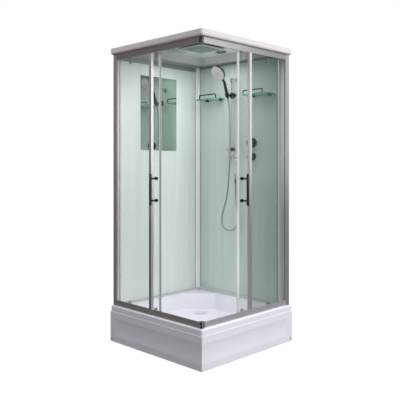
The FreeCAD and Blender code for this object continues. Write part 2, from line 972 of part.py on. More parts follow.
def door_seal(tip):
    """Magnetic strip, mitred so that the two doors meet square at the corner."""
    back = tip - seal_length()
    outer = door_outer - frame_face
    inner = door_inner - frame_face
    plan = [(back, outer), (tip, outer), (back + seal_root, inner), (back, inner)]
    return plate(plan, door_foot(), door_head())


def roller_places(tip):
    """Places of the two rollers along the door."""
    return tip - lead_roller_setback, tip - door_width + tail_roller_setback


def hanger_bolt_height():
    return door_head() - hanger_bolt_drop


def shoe_bolt_height():
    return door_foot() + shoe_bolt_rise


def hanger(x):
    """Plate on the pane's inner face that carries one wheel on its axle."""
    inner = door_pane_place + pane_thick
    outer = inner + hanger_thick
    half = hanger_width / 2
    arm_half = hanger_arm_width / 2
    bolt_z = hanger_bolt_height()
    shoulder = door_head() + hanger_shoulder_rise
    foot = depth_box(x - half, x + half, inner, outer, bolt_z - hanger_foot_reach, shoulder)
    arm = depth_box(x - arm_half, x + arm_half, inner, outer, bolt_z,
                    wheel_axle_height + hanger_arm_rise)
    bolt = at_depth(x, door_pane_place, inner, bolt_z, hanger_bolt_radius)
    cap = at_depth(x, door_pane_place - hanger_cap_thick, door_pane_place, bolt_z, hanger_cap_radius)
    wheel_back = track_centre + wheel_width / 2
    wheel_front = track_centre - wheel_width / 2
    boss = at_depth(x, wheel_back + axle_end_gap, inner, wheel_axle_height, hanger_boss_radius)
    axle = at_depth(x, wheel_front - axle_end_gap, inner, wheel_axle_height, axle_radius)
    head = at_depth(x, wheel_front - axle_end_gap - axle_head_thick, wheel_front - axle_end_gap,
                    wheel_axle_height, axle_head_radius)
    return joined([foot, arm, bolt, cap, boss, axle, head])


def guide_shoe(x):
    """Block at the door's foot that rides over the rib of the lower rail."""
    bolt_z = shoe_bolt_height()
    foot = tray_top + shoe_lift
    half = shoe_width / 2
    d0 = door_pane_place - shoe_depth
    block = depth_box(x - half, x + half, d0, door_pane_place, foot, foot + shoe_height)
    slot = depth_box(x - half, x + half, rib_place - shoe_slot_gap,
                     rib_place + track_thick + shoe_slot_gap, foot,
                     tray_top + rib_height + shoe_slot_gap)
    inner = door_pane_place + pane_thick
    bolt = at_depth(x, door_pane_place, inner, bolt_z, hanger_bolt_radius)
    cap = at_depth(x, inner, inner + shoe_cap_thick, bolt_z, shoe_cap_radius)
    return joined([block.cut(slot), bolt, cap])


def door_roller_mounts(tip):
    """Hangers at the head and guide shoes at the foot."""
    pieces = []
    for x in roller_places(tip):
        pieces.append(hanger(x))
        pieces.append(guide_shoe(x))
    return Part.makeCompound(pieces)


def wheel(x):
    """Grooved wheel on the track of the upper rail."""
    half = wheel_width / 2
    groove = wheel_groove / 2
    bore = axle_radius + play
    rim = wheel_rim_radius
    root = wheel_root_radius
    section = [(bore, -half), (rim, -half), (rim, -groove), (root, -groove),
               (root, groove), (rim, groove), (rim, half), (bore, half)]
    return turned(section, across(x, track_centre, wheel_axle_height), V(0, 1, 0))


def handle_post_heights():
    return handle_foot + handle_post_inset, handle_foot + handle_length - handle_post_inset


def door_handle(tip):
    """Bar handle outside, through-bolted to round nuts inside."""
    x = tip - handle_setback
    bar_depth = door_pane_place - handle_reach
    inner = door_pane_place + pane_thick
    edge = handle_radius / 4
    bar_section = [(0, 0), (handle_radius - edge, 0), (handle_radius, edge),
                   (handle_radius, handle_length - edge), (handle_radius - edge, handle_length),
                   (0, handle_length)]
    pieces = [turned(bar_section, across(x, bar_depth, handle_foot), V(0, 0, 1))]
    for z in handle_post_heights():
        pieces.append(at_depth(x, bar_depth, door_pane_place, z, handle_post_radius))
        pieces.append(at_depth(x, door_pane_place - handle_rose_thick, door_pane_place, z,
                               handle_rose_radius))
        pieces.append(at_depth(x, door_pane_place, inner, z, handle_bolt_radius))
        pieces.append(at_depth(x, inner, inner + handle_nut_thick, z, handle_nut_radius))
    return joined(pieces)


# Back walls, corner post and mirror

def wall_panels():
    """Left and right wall panels; the right one has the holes for the fittings."""
    left_end = right_wall - corner_cover_thick
    front = post_depth - frame_face
    left = box(left_wall - wall_thick, left_wall, front, left_end, tray_top, glazed_top)
    right_start = left_wall + corner_bevel_deep
    right = box(right_start, -front, right_wall, right_wall + wall_thick, tray_top, glazed_top)
    for x, z, radius in wall_holes():
        start = V(x, right_wall, z)
        right = right.cut(rod(start, start + V(0, wall_thick, 0), radius + hole_play))
    return left, right


def wall_holes():
    """Places and radii of what passes through the right wall."""
    return ((mixer_x, mixer_knob_z, spindle_radius), (mixer_x, diverter_z, spindle_radius),
            (outlet_x, outlet_z, elbow_tail_radius))


def wall_base_rails():
    """Low rails on the deck that hold the foot of the wall panels."""
    top = deck_top + wall_base_height
    back = wall_thick + wall_base_back
    front = rail_depth - frame_face
    cover_end = right_wall - corner_cover
    left = box(left_wall - back, left_wall + wall_base_depth, front, cover_end, deck_top, top)
    left_slot = box(left_wall - wall_thick, left_wall, front, cover_end, tray_top, top)
    right_x0 = left_wall + corner_leg_reach
    right = box(right_x0, -front, right_wall - wall_base_depth, right_wall + back, deck_top, top)
    right_slot = box(right_x0, -front, right_wall, right_wall + wall_thick, tray_top, top)
    return Part.makeCompound([left.cut(left_slot), right.cut(right_slot)])


def wall_top_trims():
    """Strips along the head of the wall panels."""
    front = post_depth + post_lip_length - frame_face
    left = box(left_wall, left_wall + trim_depth, front, right_wall - corner_cover,
               glazed_top - left_trim_height, glazed_top)
    right = box(left_wall + corner_leg_reach, -front, right_wall - trim_depth, right_wall,
                glazed_top - right_trim_height, glazed_top)
    return Part.makeCompound([left, right])


def corner_post():
    """Profile in the back corner, bevelled towards the room, with a leg behind each panel."""
    back_x = left_wall - wall_thick - corner_leg
    back_y = right_wall + wall_thick + corner_leg
    panel_y = right_wall - corner_cover_thick
    cover_y = right_wall - corner_cover
    panel_x = left_wall + corner_bevel_deep
    leg_end = left_wall + corner_leg_reach
    outline = [
        (back_x, cover_y), (left_wall - wall_thick, cover_y), (left_wall - wall_thick, panel_y),
        (left_wall, panel_y), (left_wall, cover_y), (left_wall + corner_cover_thick, cover_y),
        (left_wall + corner_cover_thick, cover_y + corner_bevel_wide / 2),
        (left_wall + corner_bevel_deep + corner_cover_thick, panel_y - corner_bevel_deep),
        (leg_end, panel_y), (leg_end, right_wall), (panel_x, right_wall),
        (panel_x, right_wall + wall_thick), (leg_end, right_wall + wall_thick),
        (leg_end, back_y), (back_x, back_y),
    ]
    return plate(outline, deck_top, glazed_top)


def mirror():
    """Frameless mirror on the left wall."""
    half = mirror_width / 2
    return box(left_wall, left_wall + mirror_thick, mirror_centre - half, mirror_centre + half,
               mirror_foot, mirror_foot + mirror_height)


# Roof, ceiling and what hangs from it

def roof_cover():
    """Shell with a rounded fascia, a ledge that sits on the frame and a shallow dome."""
    rim = rounded_plate(square(half_plan), roof_corner, glazed_top, roof_edge_top)
    rim = rim.makeFillet(roof_edge_round, [e for e in rim.Edges if e.BoundBox.ZMin > roof_edge_top - play])
    rim = rim.makeFillet(roof_foot_round, [e for e in rim.Edges if e.BoundBox.ZMax < glazed_top + play])
    foot_half = half_plan - dome_foot_margin
    top_half = half_plan - dome_top_margin
    dome = square_frustum(foot_half, top_half, roof_edge_top - roof_wall, roof_top)
    inner = half_plan - roof_wall
    hollow_foot = glazed_top + roof_wall
    inside = rounded_plate(square(inner), roof_corner - roof_wall, hollow_foot, roof_edge_top - roof_wall)
    inside = inside.makeFillet(
        roof_foot_round - roof_wall, [e for e in inside.Edges if e.BoundBox.ZMax < hollow_foot + play])
    dome_inside = square_frustum(foot_half - roof_wall, top_half - roof_wall,
                                 roof_edge_top - roof_wall, roof_top - roof_wall)
    way_up = half_plan - roof_ledge
    mouth = box(-way_up, way_up, -way_up, way_up, glazed_top, glazed_top + roof_wall)
    solid = joined([rim, dome]).cut(inside).cut(dome_inside).cut(mouth)
    return solid.cut(pipe_hole())


def pipe_hole():
    """Way for the supply pipe through the roof's ledge and the ceiling."""
    start = V(mixer_x, pipe_plane(), glazed_top)
    return rod(start, start + V(0, 0, roof_wall + ceiling_thick), pipe_radius + hole_play)


def ceiling_panel():
    """Flat border with a raised middle."""
    half = half_plan - ceiling_margin
    top = ceiling_underside + ceiling_thick
    border = rounded_plate(square(half), roof_corner - roof_wall, ceiling_underside, top)
    raised = square_frustum(recess_foot_half + ceiling_thick, recess_top_half + ceiling_thick,
                            ceiling_underside, recess_underside + ceiling_thick)
    hollow = square_frustum(recess_foot_half, recess_top_half, ceiling_underside, recess_underside)
    hub_start = V(0, 0, recess_underside)
    hub = rod(hub_start, hub_start + V(0, 0, ceiling_thick), rain_hub_radius + hole_play)
    return joined([border, raised]).cut(hollow).cut(hub).cut(pipe_hole())


def rain_inlet_height():
    """Height of the inlet above the ceiling panel."""
    return recess_underside + ceiling_thick + pipe_radius + rain_inlet_gap


def rain_plate():
    """Square shower plate with its inlet and a mat of soft nozzles."""
    top = recess_underside - rain_neck
    foot = top - rain_thick
    body = rounded_plate(square(rain_half), rain_corner, foot, top)
    neck = rod(V(0, 0, top), V(0, 0, recess_underside), rain_neck_radius)
    hub = rod(V(0, 0, top), V(0, 0, top + rain_hub_height), rain_hub_radius)
    inlet_start = V(0, 0, rain_inlet_height())
    inlet = rod(inlet_start, inlet_start + V(0, rain_inlet_reach, 0), rain_inlet_radius)
    first = -nozzle_pitch * (nozzle_count - 1) / 2
    mat_half = -first + nozzle_pitch / 2
    mat = [box(-mat_half, mat_half, -mat_half, mat_half, foot - nozzle_mat, foot)]
    for i in range(nozzle_count):
        for j in range(nozzle_count):
            place = V(first + i * nozzle_pitch, first + j * nozzle_pitch, foot - nozzle_mat)
            mat.append(rod(place, place - V(0, 0, nozzle_drop), nozzle_radius))
    return Part.makeCompound([joined([body, neck, hub, inlet]), joined(mat)])


def ceiling_light():
    """Round light: a ring and its lens."""
    top = V(light_x, light_y, recess_underside)
    ring = pipe_piece(top - V(0, 0, light_thick), top, light_radius, light_radius - light_lens_radius)
    lens = rod(top - V(0, 0, lens_thick), top, light_lens_radius)
    return Part.makeCompound([ring, lens])


def vent_grille():
    """Round grille of rings on two crossing bars."""
    top = V(vent_x, vent_y, recess_underside)
    foot = top - V(0, 0, vent_thick)
    pieces = [rod(foot, top, vent_hub_radius)]
    for i in range(vent_rings):
        pieces.append(pipe_piece(foot, top, vent_radius - i * vent_ring_pitch, vent_ring))
    half = vent_spoke / 2
    reach = vent_radius - vent_ring
    z0, z1 = foot.z, top.z
    pieces.append(box(vent_x - reach, vent_x + reach, vent_y - half, vent_y + half, z0, z1))
    pieces.append(box(vent_x - half, vent_x + half, vent_y - reach, vent_y + reach, z0, z1))
    return joined(pieces)


# Shower set

def riser_y():
    return right_wall - riser_standoff


def riser_rail():
    """Upright tube on which the handset holder slides."""
    return pipe_piece(V(riser_x, riser_y(), riser_foot), V(riser_x, riser_y(), riser_head),
                      riser_radius, riser_wall)


def riser_bracket(z):
    """Hub round the riser with an arm to the wall and a cap in front."""
    centre = V(riser_x, riser_y(), z)
    half = V(0, 0, hub_height / 2)
    wall_point = V(riser_x, right_wall, z)
    hub = rod(centre - half, centre + half, hub_radius)
    arm = rod(centre, wall_point, arm_radius)
    rose = rod(wall_point - V(0, rose_thick, 0), wall_point, rose_radius)
    cap = rod(centre - V(0, cap_reach, 0), centre, cap_radius)
    bore = rod(centre - half, centre + half, riser_radius)
    return joined([hub, arm, rose, cap]).cut(bore)


def riser_brackets():
    """Upper and lower bracket of the riser."""
    return Part.makeCompound([riser_bracket(riser_head - hub_inset), riser_bracket(riser_foot + hub_inset)])


def pivot():
    """Point of the holder's tilt axis."""
    return V(riser_x, riser_y() - pivot_reach, slider_z)


def slider():
    """Collar on the riser with a side knob and a fork for the holder."""
    centre = V(riser_x, riser_y(), slider_z)
    half = V(0, 0, slider_height / 2)
    collar = rod(centre - half, centre + half, slider_radius)
    side = rod(centre, centre + V(slider_radius + knob_reach, 0, 0), knob_radius)
    cheek_in = lug_half_width + lug_gap
    cheek_out = cheek_in + cheek_thick
    pieces = [collar, side]
    for x0, x1 in ((-cheek_out, -cheek_in), (cheek_in, cheek_out)):
        pieces.append(box(riser_x + x0, riser_x + x1, pivot().y, riser_y(),
                          slider_z - cheek_half_height, slider_z + cheek_half_height))
        pieces.append(rod(pivot() + V(x0, 0, 0), pivot() + V(x1, 0, 0), cheek_half_height))
    pieces.append(rod(pivot() - V(cheek_out, 0, 0), pivot() + V(cheek_out, 0, 0), pivot_pin_radius))
    bore = rod(centre - half, centre + half, riser_radius + play)
    return joined(pieces).cut(bore)


def holder_axis():
    """Direction in which the handset leaves its holder."""
    lean = math.radians(holder_lean)
    return V(0, -math.sin(lean), math.cos(lean))


def holder_centre():
    return V(riser_x, riser_y() - holder_reach, slider_z)


def handset_holder():
    """Tapered ring for the hose nut, with the lug that tilts in the slider's fork."""
    centre = holder_centre()
    half = holder_axis() * (holder_height / 2)
    ring = taper(centre - half, centre + half, holder_foot_radius, holder_top_radius)
    lug = rod(pivot() - V(lug_half_width, 0, 0), pivot() + V(lug_half_width, 0, 0), lug_radius)
    web = box(riser_x - lug_half_width, riser_x + lug_half_width, centre.y + nut_top_radius, pivot().y,
              slider_z - lug_radius, slider_z + lug_radius)
    pin_hole = rod(pivot() - V(lug_half_width, 0, 0), pivot() + V(lug_half_width, 0, 0),
                   pivot_pin_radius + play)
    return joined([ring, lug, web]).cut(pin_hole).cut(nut_taper(play))


def nut_taper(clearance):
    """Conical nut of the hose under the handset."""
    centre = holder_centre()
    foot = centre - holder_axis() * nut_below
    top = centre + holder_axis() * nut_above
    return taper(foot, top, nut_foot_radius + clearance, nut_top_radius + clearance)


def head_normal():
    """Direction of the spray."""
    tilt = math.radians(head_tilt)
    return V(0, -math.cos(tilt), -math.sin(tilt))


def handset():
    """Nut, grip, neck and round head with its spray face."""
    start = holder_centre() + holder_axis() * nut_above
    bend = holder_centre() + holder_axis() * grip_length
    normal = head_normal()
    down = V(0, math.sin(math.radians(head_tilt)), -math.cos(math.radians(head_tilt)))
    face_centre = holder_centre() + V(0, -head_reach, head_rise)
    back_centre = face_centre - normal * head_thick
    neck_end = back_centre + down * head_neck_drop - normal * (head_back / 2)
    rim = head_thick / 4
    section = [(0, 0), (head_back_radius, 0), (head_radius, head_back), (head_radius, head_back + head_thick - rim),
               (head_radius - rim, head_back + head_thick), (face_radius, head_back + head_thick),
               (face_radius, head_back + head_thick - face_recess), (0, head_back + head_thick - face_recess)]
    head = turned(section, back_centre - normal * head_back, normal)
    pieces = [
        nut_taper(0), taper(start, bend, nut_top_radius - play, grip_radius),
        Part.makeSphere(grip_radius, bend), taper(bend, neck_end, grip_radius, neck_radius),
        Part.makeSphere(neck_radius, neck_end), head,
    ]
    spray_foot = face_centre - normal * face_recess
    for ring in range(1, spray_rings + 1):
        for i in range(6 * ring):
            angle = 2 * math.pi * i / (6 * ring)
            place = V(math.cos(angle), 0, 0) + down * math.sin(angle)
            place = spray_foot + place * (spray_pitch * ring)
            pieces.append(rod(place - normal * face_recess, place + normal * (face_recess / 2), spray_radius))
    return joined(pieces)


def shower_hose():
    """Free hose from the handset's nut, down in a loop and up to the wall outlet."""
    points = [V(*p) for p in hose_route]
    radii = []
    for i in range(1, len(points) - 1):
        before = points[i - 1] - points[i]
        after = points[i + 1] - points[i]
        turn = math.pi - before.getAngle(after)
        radii.append(bend_share * min(before.Length, after.Length) / math.tan(turn / 2))
    path = bent_path(points, radii)
    hose = swept_rod(path, points[0], points[1], hose_diameter / 2)
    expected = math.pi * hose_diameter ** 2 / 4 * path.Length
    print("hose runs", [round((b - a).Length) for a, b in zip(points, points[1:])])
    print("hose radii", [round(r) for r in radii], "length", round(path.Length))
    print("hose volume over section times length", round(hose.Volume / expected, 4))
    return hose


def outlet_elbow():
    """Wall outlet: rose, elbow and the hose's lower nut."""
    wall_point = V(outlet_x, right_wall, outlet_z)
    bend = V(outlet_x, right_wall - outlet_standoff, outlet_z)
    drop = bend - V(0, 0, elbow_drop)
    foot = drop - V(0, 0, outlet_nut_height)
    tail_end = V(outlet_x, pipe_plane() - pipe_radius, outlet_z)
    return joined([
        rod(wall_point - V(0, rose_thick, 0), wall_point, elbow_rose_radius),
        rod(wall_point, bend, elbow_radius), Part.makeSphere(elbow_radius, bend),
        rod(bend, drop, elbow_radius), taper(drop, foot, outlet_nut_top_radius, outlet_nut_foot_radius),
        rod(wall_point, tail_end, elbow_tail_radius),
    ])


def soap_dish():
    """Clear dish beside the riser, on a collar."""
    x1 = riser_x - riser_radius - dish_gap
    x0 = x1 - dish_width
    y1 = riser_y() + dish_collar_radius - dish_wall
    y0 = y1 - dish_depth
    outer = rounded_plate([(x0, y0), (x1, y0), (x1, y1), (x0, y1)], dish_corner, dish_z,
                          dish_z + dish_height)
    w = dish_wall
    inner = rounded_plate([(x0 + w, y0 + w), (x1 - w, y0 + w), (x1 - w, y1 - w), (x0 + w, y1 - w)],
                          dish_corner - w, dish_z + w, dish_z + dish_height)
    base = V(riser_x, riser_y(), dish_z)
    top = base + V(0, 0, dish_collar_height)
    collar = rod(base, top, dish_collar_radius)
    bore = rod(base, top, riser_radius)
    arm = box(x1 - w, riser_x, riser_y() - arm_radius, riser_y() + arm_radius, dish_z, dish_z + w + w)
    return joined([outer.cut(inner), collar, arm]).cut(bore)


def shelves():
    """Start and width of the two shelves."""
    return ((left_shelf_start, left_shelf_width), (right_shelf_start, right_shelf_width))


def shelf_glass():
    """Two glass shelves with rounded front corners."""
    panes = []
    front = right_wall - shelf_depth
    back = right_wall - shelf_wall_gap
    top = shelf_height + shelf_thick
    for start, width in shelves():
        end = start + width
        outline = [(start, front), (end, front), (end, back + shelf_depth), (start, back + shelf_depth)]
        pane = rounded_plate(outline, shelf_corner, shelf_height, top)
        panes.append(pane.common(box(start, end, front, back, shelf_height, top)))
    return Part.makeCompound(panes)


def shelf_clip(x):
    """Block on the wall that grips the shelf's back edge."""
    half = clip_width / 2
    middle = shelf_height + shelf_thick / 2
    block = box(x - half, x + half, right_wall - clip_depth, right_wall,
                middle - clip_height / 2, middle + clip_height / 2)
    return block.cut(box(x - half, x + half, right_wall - clip_depth, right_wall - shelf_wall_gap,
                         shelf_height, shelf_height + shelf_thick))


def gallery(start, width):
    """Bar along the front of a shelf, bent down to the glass at both ends."""
    top = shelf_height + shelf_thick
    rail_z = top + gallery_rise
    y_front = right_wall - shelf_depth + gallery_inset
    insets = (gallery_wall_side_inset, gallery_riser_side_inset)
    if start > riser_x:
        insets = insets[::-1]
    x0 = start + insets[0]
    x1 = start + width - insets[1]
    points = [V(x0, y_front, top), V(x0, y_front, rail_z), V(x1, y_front, rail_z), V(x1, y_front, top)]
    return bent_rod(points, gallery_radius, gallery_radius * 3)


def shelf_fittings():
    """Clips and gallery bars of both shelves."""
    pieces = []
    for start, width in shelves():
        pieces.append(shelf_clip(start + clip_inset))
        pieces.append(shelf_clip(start + width - clip_inset))
        pieces.append(gallery(start, width))
    return Part.makeCompound(pieces)


# Mixer and pipes

def pipe_plane():
    """Plane of the pipes behind the right wall."""
    return right_wall + wall_thick + pipe_setback


def mixer_body():
    """Brass body behind the wall with two spindles and two inlets along the wall."""
    front = right_wall + wall_thick + body_back_gap
    foot = diverter_z - body_margin
    top = mixer_knob_z + body_margin
    body = box(mixer_x - body_half_width, mixer_x + body_half_width, front, front + body_depth, foot, top)
    pieces = [body]
    for z in (mixer_knob_z, diverter_z):
        start = V(mixer_x, front, z)
        pieces.append(rod(start, V(mixer_x, right_wall - spindle_reach, z), spindle_radius))
    bores = []
    for z in (mixer_knob_z - inlet_drop, mixer_knob_z - inlet_drop - inlet_spread):
        inlet_root = V(mixer_x - body_half_width, right_wall + wall_thick + inlet_setback, z)
        inlet_end = inlet_root - V(inlet_length, 0, 0)
        pieces.append(rod(inlet_end, inlet_root, inlet_radius))
        bores.append(rod(inlet_end, inlet_root, inlet_bore))
    return joined(pieces).cut(Part.makeCompound(bores))


def mixer_plates():
    """Round cover plates on the wall behind the two knobs."""
    plates = []
    for z, radius in ((mixer_knob_z, mixer_plate_radius), (diverter_z, diverter_plate_radius)):
        wall_point = V(mixer_x, right_wall, z)
        front = wall_point - V(0, plate_thick, 0)
        edge = plate_thick / 2
        disc = joined([rod(wall_point - V(0, edge, 0), wall_point, radius),
                       taper(wall_point - V(0, edge, 0), front, radius, radius - edge)])
        plates.append(disc.cut(rod(front, wall_point, spindle_radius + hole_play)))
    return Part.makeCompound(plates)


def knob(z, radius):
    """Round grip with notches, bored for its spindle."""
    back = V(mixer_x, right_wall - plate_thick - knob_gap, z)
    section = [(0, 0), (radius - knob_flare, 0), (radius, knob_length / 2),
               (radius, knob_length - knob_edge), (radius - knob_edge, knob_length), (0, knob_length)]
    grip = turned(section, back, V(0, -1, 0))
    notches = []
    for i in range(grip_notches):
        angle = 2 * math.pi * (i + 0.5) / grip_notches
        place = back + V(math.cos(angle), 0, math.sin(angle)) * (radius + notch_radius / 2)
        notches.append(rod(place, place - V(0, knob_length, 0), notch_radius))
    bore_end = V(mixer_x, right_wall - spindle_reach - knob_gap, z)
    return grip.cut(Part.makeCompound(notches)).cut(rod(back, bore_end, spindle_radius + play))


def mixer_knob():
    """Temperature knob with a short lever."""
    grip = knob(mixer_knob_z, mixer_knob_radius)
    middle = V(mixer_x, right_wall - plate_thick - knob_gap - knob_length / 2, mixer_knob_z)
    start = middle + V(mixer_knob_radius - lever_tip_radius, 0, 0)
    end = middle + V(mixer_knob_radius + lever_length, 0, 0)
    return joined([grip, rod(start, end, lever_radius), Part.makeSphere(lever_tip_radius, end)])


def supply_pipes():
    """Pipe to the rain shower and pipe to the hose outlet."""
    plane = pipe_plane()
    body_top = mixer_knob_z + body_margin
    roof_z = ceiling_underside + ceiling_thick + pipe_ledge_gap
    dome_z = rain_inlet_height()
    climb_y = recess_top_half + ceiling_thick + pipe_climb_gap
    coupling = V(mixer_x, plane, glazed_top - pipe_coupling_drop)
    upright = rod(V(mixer_x, plane, body_top), coupling, pipe_radius)
    rain_points = [
        coupling, V(mixer_x, plane, roof_z), V(mixer_x, plane - pipe_turn_reach, roof_z),
        V(mixer_x, climb_y, dome_z), V(mixer_x / 2, pipe_side_y + climb_y / 2, dome_z),
        V(0, pipe_side_y, dome_z), V(0, rain_inlet_reach, dome_z),
    ]
    rain = bent_rod(rain_points, pipe_radius, pipe_bend)
    side_start = V(mixer_x - body_half_width, plane, side_pipe_z)
    side_turn = V(outlet_x, plane, side_pipe_z)
    side = bent_rod([side_start, side_turn, V(outlet_x, plane, outlet_z - pipe_radius)],
                    pipe_radius, pipe_bend)
    return Part.makeCompound([upright, rain, side])


def glazed_side(name, place, stile_edge, wall_inset, tip):
    """Nodes of one glazed side, put in place by the given function."""
    lead_x, tail_x = roller_places(tip)
    return {
        "wall_post_" + name: place(wall_post(wall_inset)),
        "top_rail_" + name: place(top_rail()),
        "bottom_rail_" + name: place(bottom_rail()),
        "stile_" + name: place(stile(stile_edge)),
        "fixed_glass_" + name: place(fixed_glass(stile_edge)),
        "door_glass_" + name: place(door_glass(tip)),
        "door_profiles_" + name: place(door_profiles(tip)),
        "door_seal_" + name: place(door_seal(tip)),
        "door_handle_" + name: place(door_handle(tip)),
        "door_roller_mounts_" + name: place(door_roller_mounts(tip)),
        "wheel_lead_" + name: place(wheel(lead_x)),
        "wheel_tail_" + name: place(wheel(tail_x)),
    }


def as_drawn(shape):
    """The left side stays where it is drawn."""
    return shape


def all_nodes():
    """Every sub-part by its name."""
    nodes = {
        "tray": tray(), "apron": apron(), "tray_frame": tray_frame(), "adjustable_feet": adjustable_feet(),
        "apron_fixings": apron_fixings(), "drain_cover": drain_cover(), "drain_trap": drain_trap(),
        "corner_block_top": corner_block_at(upper_rail_foot, glazed_top),
        "corner_block_bottom": corner_block_at(tray_top, lower_rail_top),
    }
    nodes.update(glazed_side("left", as_drawn, left_stile_edge, left_wall_inset, left_door_tip))
    nodes.update(glazed_side("right", mirrored, right_stile_edge, right_wall_inset, right_door_tip))
    strips = gaskets(left_stile_edge) + [mirrored(s) for s in gaskets(right_stile_edge)]
    left_panel, right_panel = wall_panels()
    nodes.update({
        "glazing_gaskets": Part.makeCompound(strips),
        "wall_panel_left": left_panel, "wall_panel_right": right_panel,
        "wall_base_rails": wall_base_rails(), "wall_top_trims": wall_top_trims(),
        "corner_post": corner_post(), "mirror": mirror(),
        "roof_cover": roof_cover(), "ceiling_panel": ceiling_panel(), "rain_plate": rain_plate(),
        "ceiling_light": ceiling_light(), "vent_grille": vent_grille(),
        "riser_rail": riser_rail(), "riser_brackets": riser_brackets(), "slider": slider(),
        "handset_holder": handset_holder(), "handset": handset(), "shower_hose": shower_hose(),
        "outlet_elbow": outlet_elbow(), "soap_dish": soap_dish(), "shelf_glass": shelf_glass(),
        "shelf_fittings": shelf_fittings(), "mixer_body": mixer_body(), "mixer_plates": mixer_plates(),
        "mixer_knob": mixer_knob(), "diverter_knob": knob(diverter_z, diverter_knob_radius),
        "supply_pipes": supply_pipes(),
    })
    return nodes


os.makedirs("parts", exist_ok=True)
for node, shape in all_nodes().items():
    shape.exportStep("parts/" + node + ".step")
    print(node, "solids", len(shape.Solids), "valid", shape.isValid(), "volume", round(shape.Volume))
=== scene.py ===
import math
import bpy
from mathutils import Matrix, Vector


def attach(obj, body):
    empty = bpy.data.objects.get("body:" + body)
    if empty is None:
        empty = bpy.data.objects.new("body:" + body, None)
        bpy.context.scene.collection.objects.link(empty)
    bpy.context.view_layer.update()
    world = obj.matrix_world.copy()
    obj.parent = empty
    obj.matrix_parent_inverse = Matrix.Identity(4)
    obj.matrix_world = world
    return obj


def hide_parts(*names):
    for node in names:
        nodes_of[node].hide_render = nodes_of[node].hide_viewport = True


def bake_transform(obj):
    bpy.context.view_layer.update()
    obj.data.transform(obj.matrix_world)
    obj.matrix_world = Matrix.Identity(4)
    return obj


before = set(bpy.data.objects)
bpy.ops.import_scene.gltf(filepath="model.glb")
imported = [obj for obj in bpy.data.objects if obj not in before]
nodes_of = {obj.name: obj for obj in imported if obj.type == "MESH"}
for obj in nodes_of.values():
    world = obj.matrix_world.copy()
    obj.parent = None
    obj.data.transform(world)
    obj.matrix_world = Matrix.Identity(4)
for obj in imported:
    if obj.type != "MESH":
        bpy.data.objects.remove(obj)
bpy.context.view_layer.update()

scene = bpy.context.scene
MM = 0.001


# Camera (place in metres, turn in degrees, lens and sensor in mm, shift in sensor widths)

CAMERA_PLACE = (2.9442, -2.9791, 1.2504)
CAMERA_TURN = 44.79
CAMERA_LENS = 52.86
CAMERA_SENSOR = 36
CAMERA_SHIFT = -0.0867


def place_camera():
    """Level camera at the entrance corner, a little above the handles."""
    data = bpy.data.cameras.new("camera")
    data.sensor_width = CAMERA_SENSOR
    data.lens = CAMERA_LENS
    data.shift_y = CAMERA_SHIFT
    data.clip_end = 100
    camera = bpy.data.objects.new("camera", data)
    camera.location = CAMERA_PLACE
    camera.rotation_euler = (math.radians(90), 0, math.radians(CAMERA_TURN))
    scene.collection.objects.link(camera)
    scene.camera = camera


place_camera()


# Selection

def choose(*pieces):
    """Selects these pieces alone and makes the first one active."""
    bpy.ops.object.select_all(action="DESELECT")
    for piece in pieces:
        piece.select_set(True)
    if pieces:
        bpy.context.view_layer.objects.active = pieces[0]


# Hose

HOSE_ROUTE = [
    (-0.026, 0.31105, 1.75423),
    (-0.026, 0.322669, 1.71847),
    (-0.024, 0.3295, 1.653),
    (-0.021, 0.331, 1.51),
    (-0.022, 0.3315, 1.33),
    (-0.036, 0.334, 1.2),
    (-0.05, 0.339, 1.06),
    (-0.088, 0.3465, 0.945),
    (-0.1245, 0.3515, 0.868),
    (-0.129, 0.3555, 0.798),
    (-0.101, 0.3595, 0.7575),
    (-0.061, 0.364, 0.7515),
    (-0.018, 0.369, 0.76),
    (0.017, 0.375, 0.802),
    (0.023, 0.3805, 0.868),
    (0.004, 0.384, 0.925),
    (-0.018, 0.387, 1),
    (-0.018, 0.387, 1.11195),
]
HOSE_RADIUS = 0.0065


def hang_hose():
    """Hose from the handset's nut, round its loop and up to the wall outlet."""
    curve = bpy.data.curves.new("hose", "CURVE")
    curve.dimensions = "3D"
    spline = curve.splines.new("NURBS")
    spline.points.add(len(HOSE_ROUTE) - 1)
    for point, place in zip(spline.points, HOSE_ROUTE):
        point.co = (*place, 1)
    spline.order_u = 3
    spline.use_endpoint_u = True
    spline.resolution_u = 12
    hose = bpy.data.objects.new("hose", curve)
    scene.collection.objects.link(hose)
    line = bpy.data.meshes.new_from_object(hose)
    curve.bevel_depth = HOSE_RADIUS
    curve.bevel_resolution = 5
    curve.use_fill_caps = True
    choose(hose)
    bpy.ops.object.convert(target="MESH")
    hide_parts("shower_hose")
    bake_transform(hose)
    return hose


hose = hang_hose()


# Steps that several node trees share

def node(tree, kind, **values):
    """A new node with its plain settings."""
    made = tree.nodes.new(kind)
    for key, value in values.items():
        setattr(made, key, value)
    return made


def set_inputs(made, values):
    """Numbers and colours on a node's own sockets."""
    for key, value in values.items():
        made.inputs[key].default_value = value


def math_node(tree, operation, a, b=None):
    """Math node on two sockets or numbers."""
    made = node(tree, "ShaderNodeMath", operation=operation)
    for i, value in enumerate((a, b)):
        if value is None:
            continue
        if isinstance(value, (int, float)):
            made.inputs[i].default_value = value
        else:
            tree.links.new(value, made.inputs[i])
    return made.outputs[0]


def tone(tree, source, dark, light):
    """Blend of two colours by a value."""
    made = node(tree, "ShaderNodeMix", data_type="RGBA")
    made.inputs[6].default_value = (*dark, 1)
    made.inputs[7].default_value = (*light, 1)
    tree.links.new(source, made.inputs[0])
    return made.outputs[2]


# Light, backdrop and floor

def background_rays(tree):
    """One for the rays that show the plain background."""
    path = node(tree, "ShaderNodeLightPath")
    return math_node(tree, "MAXIMUM", path.outputs["Is Camera Ray"], path.outputs["Is Transmission Ray"])


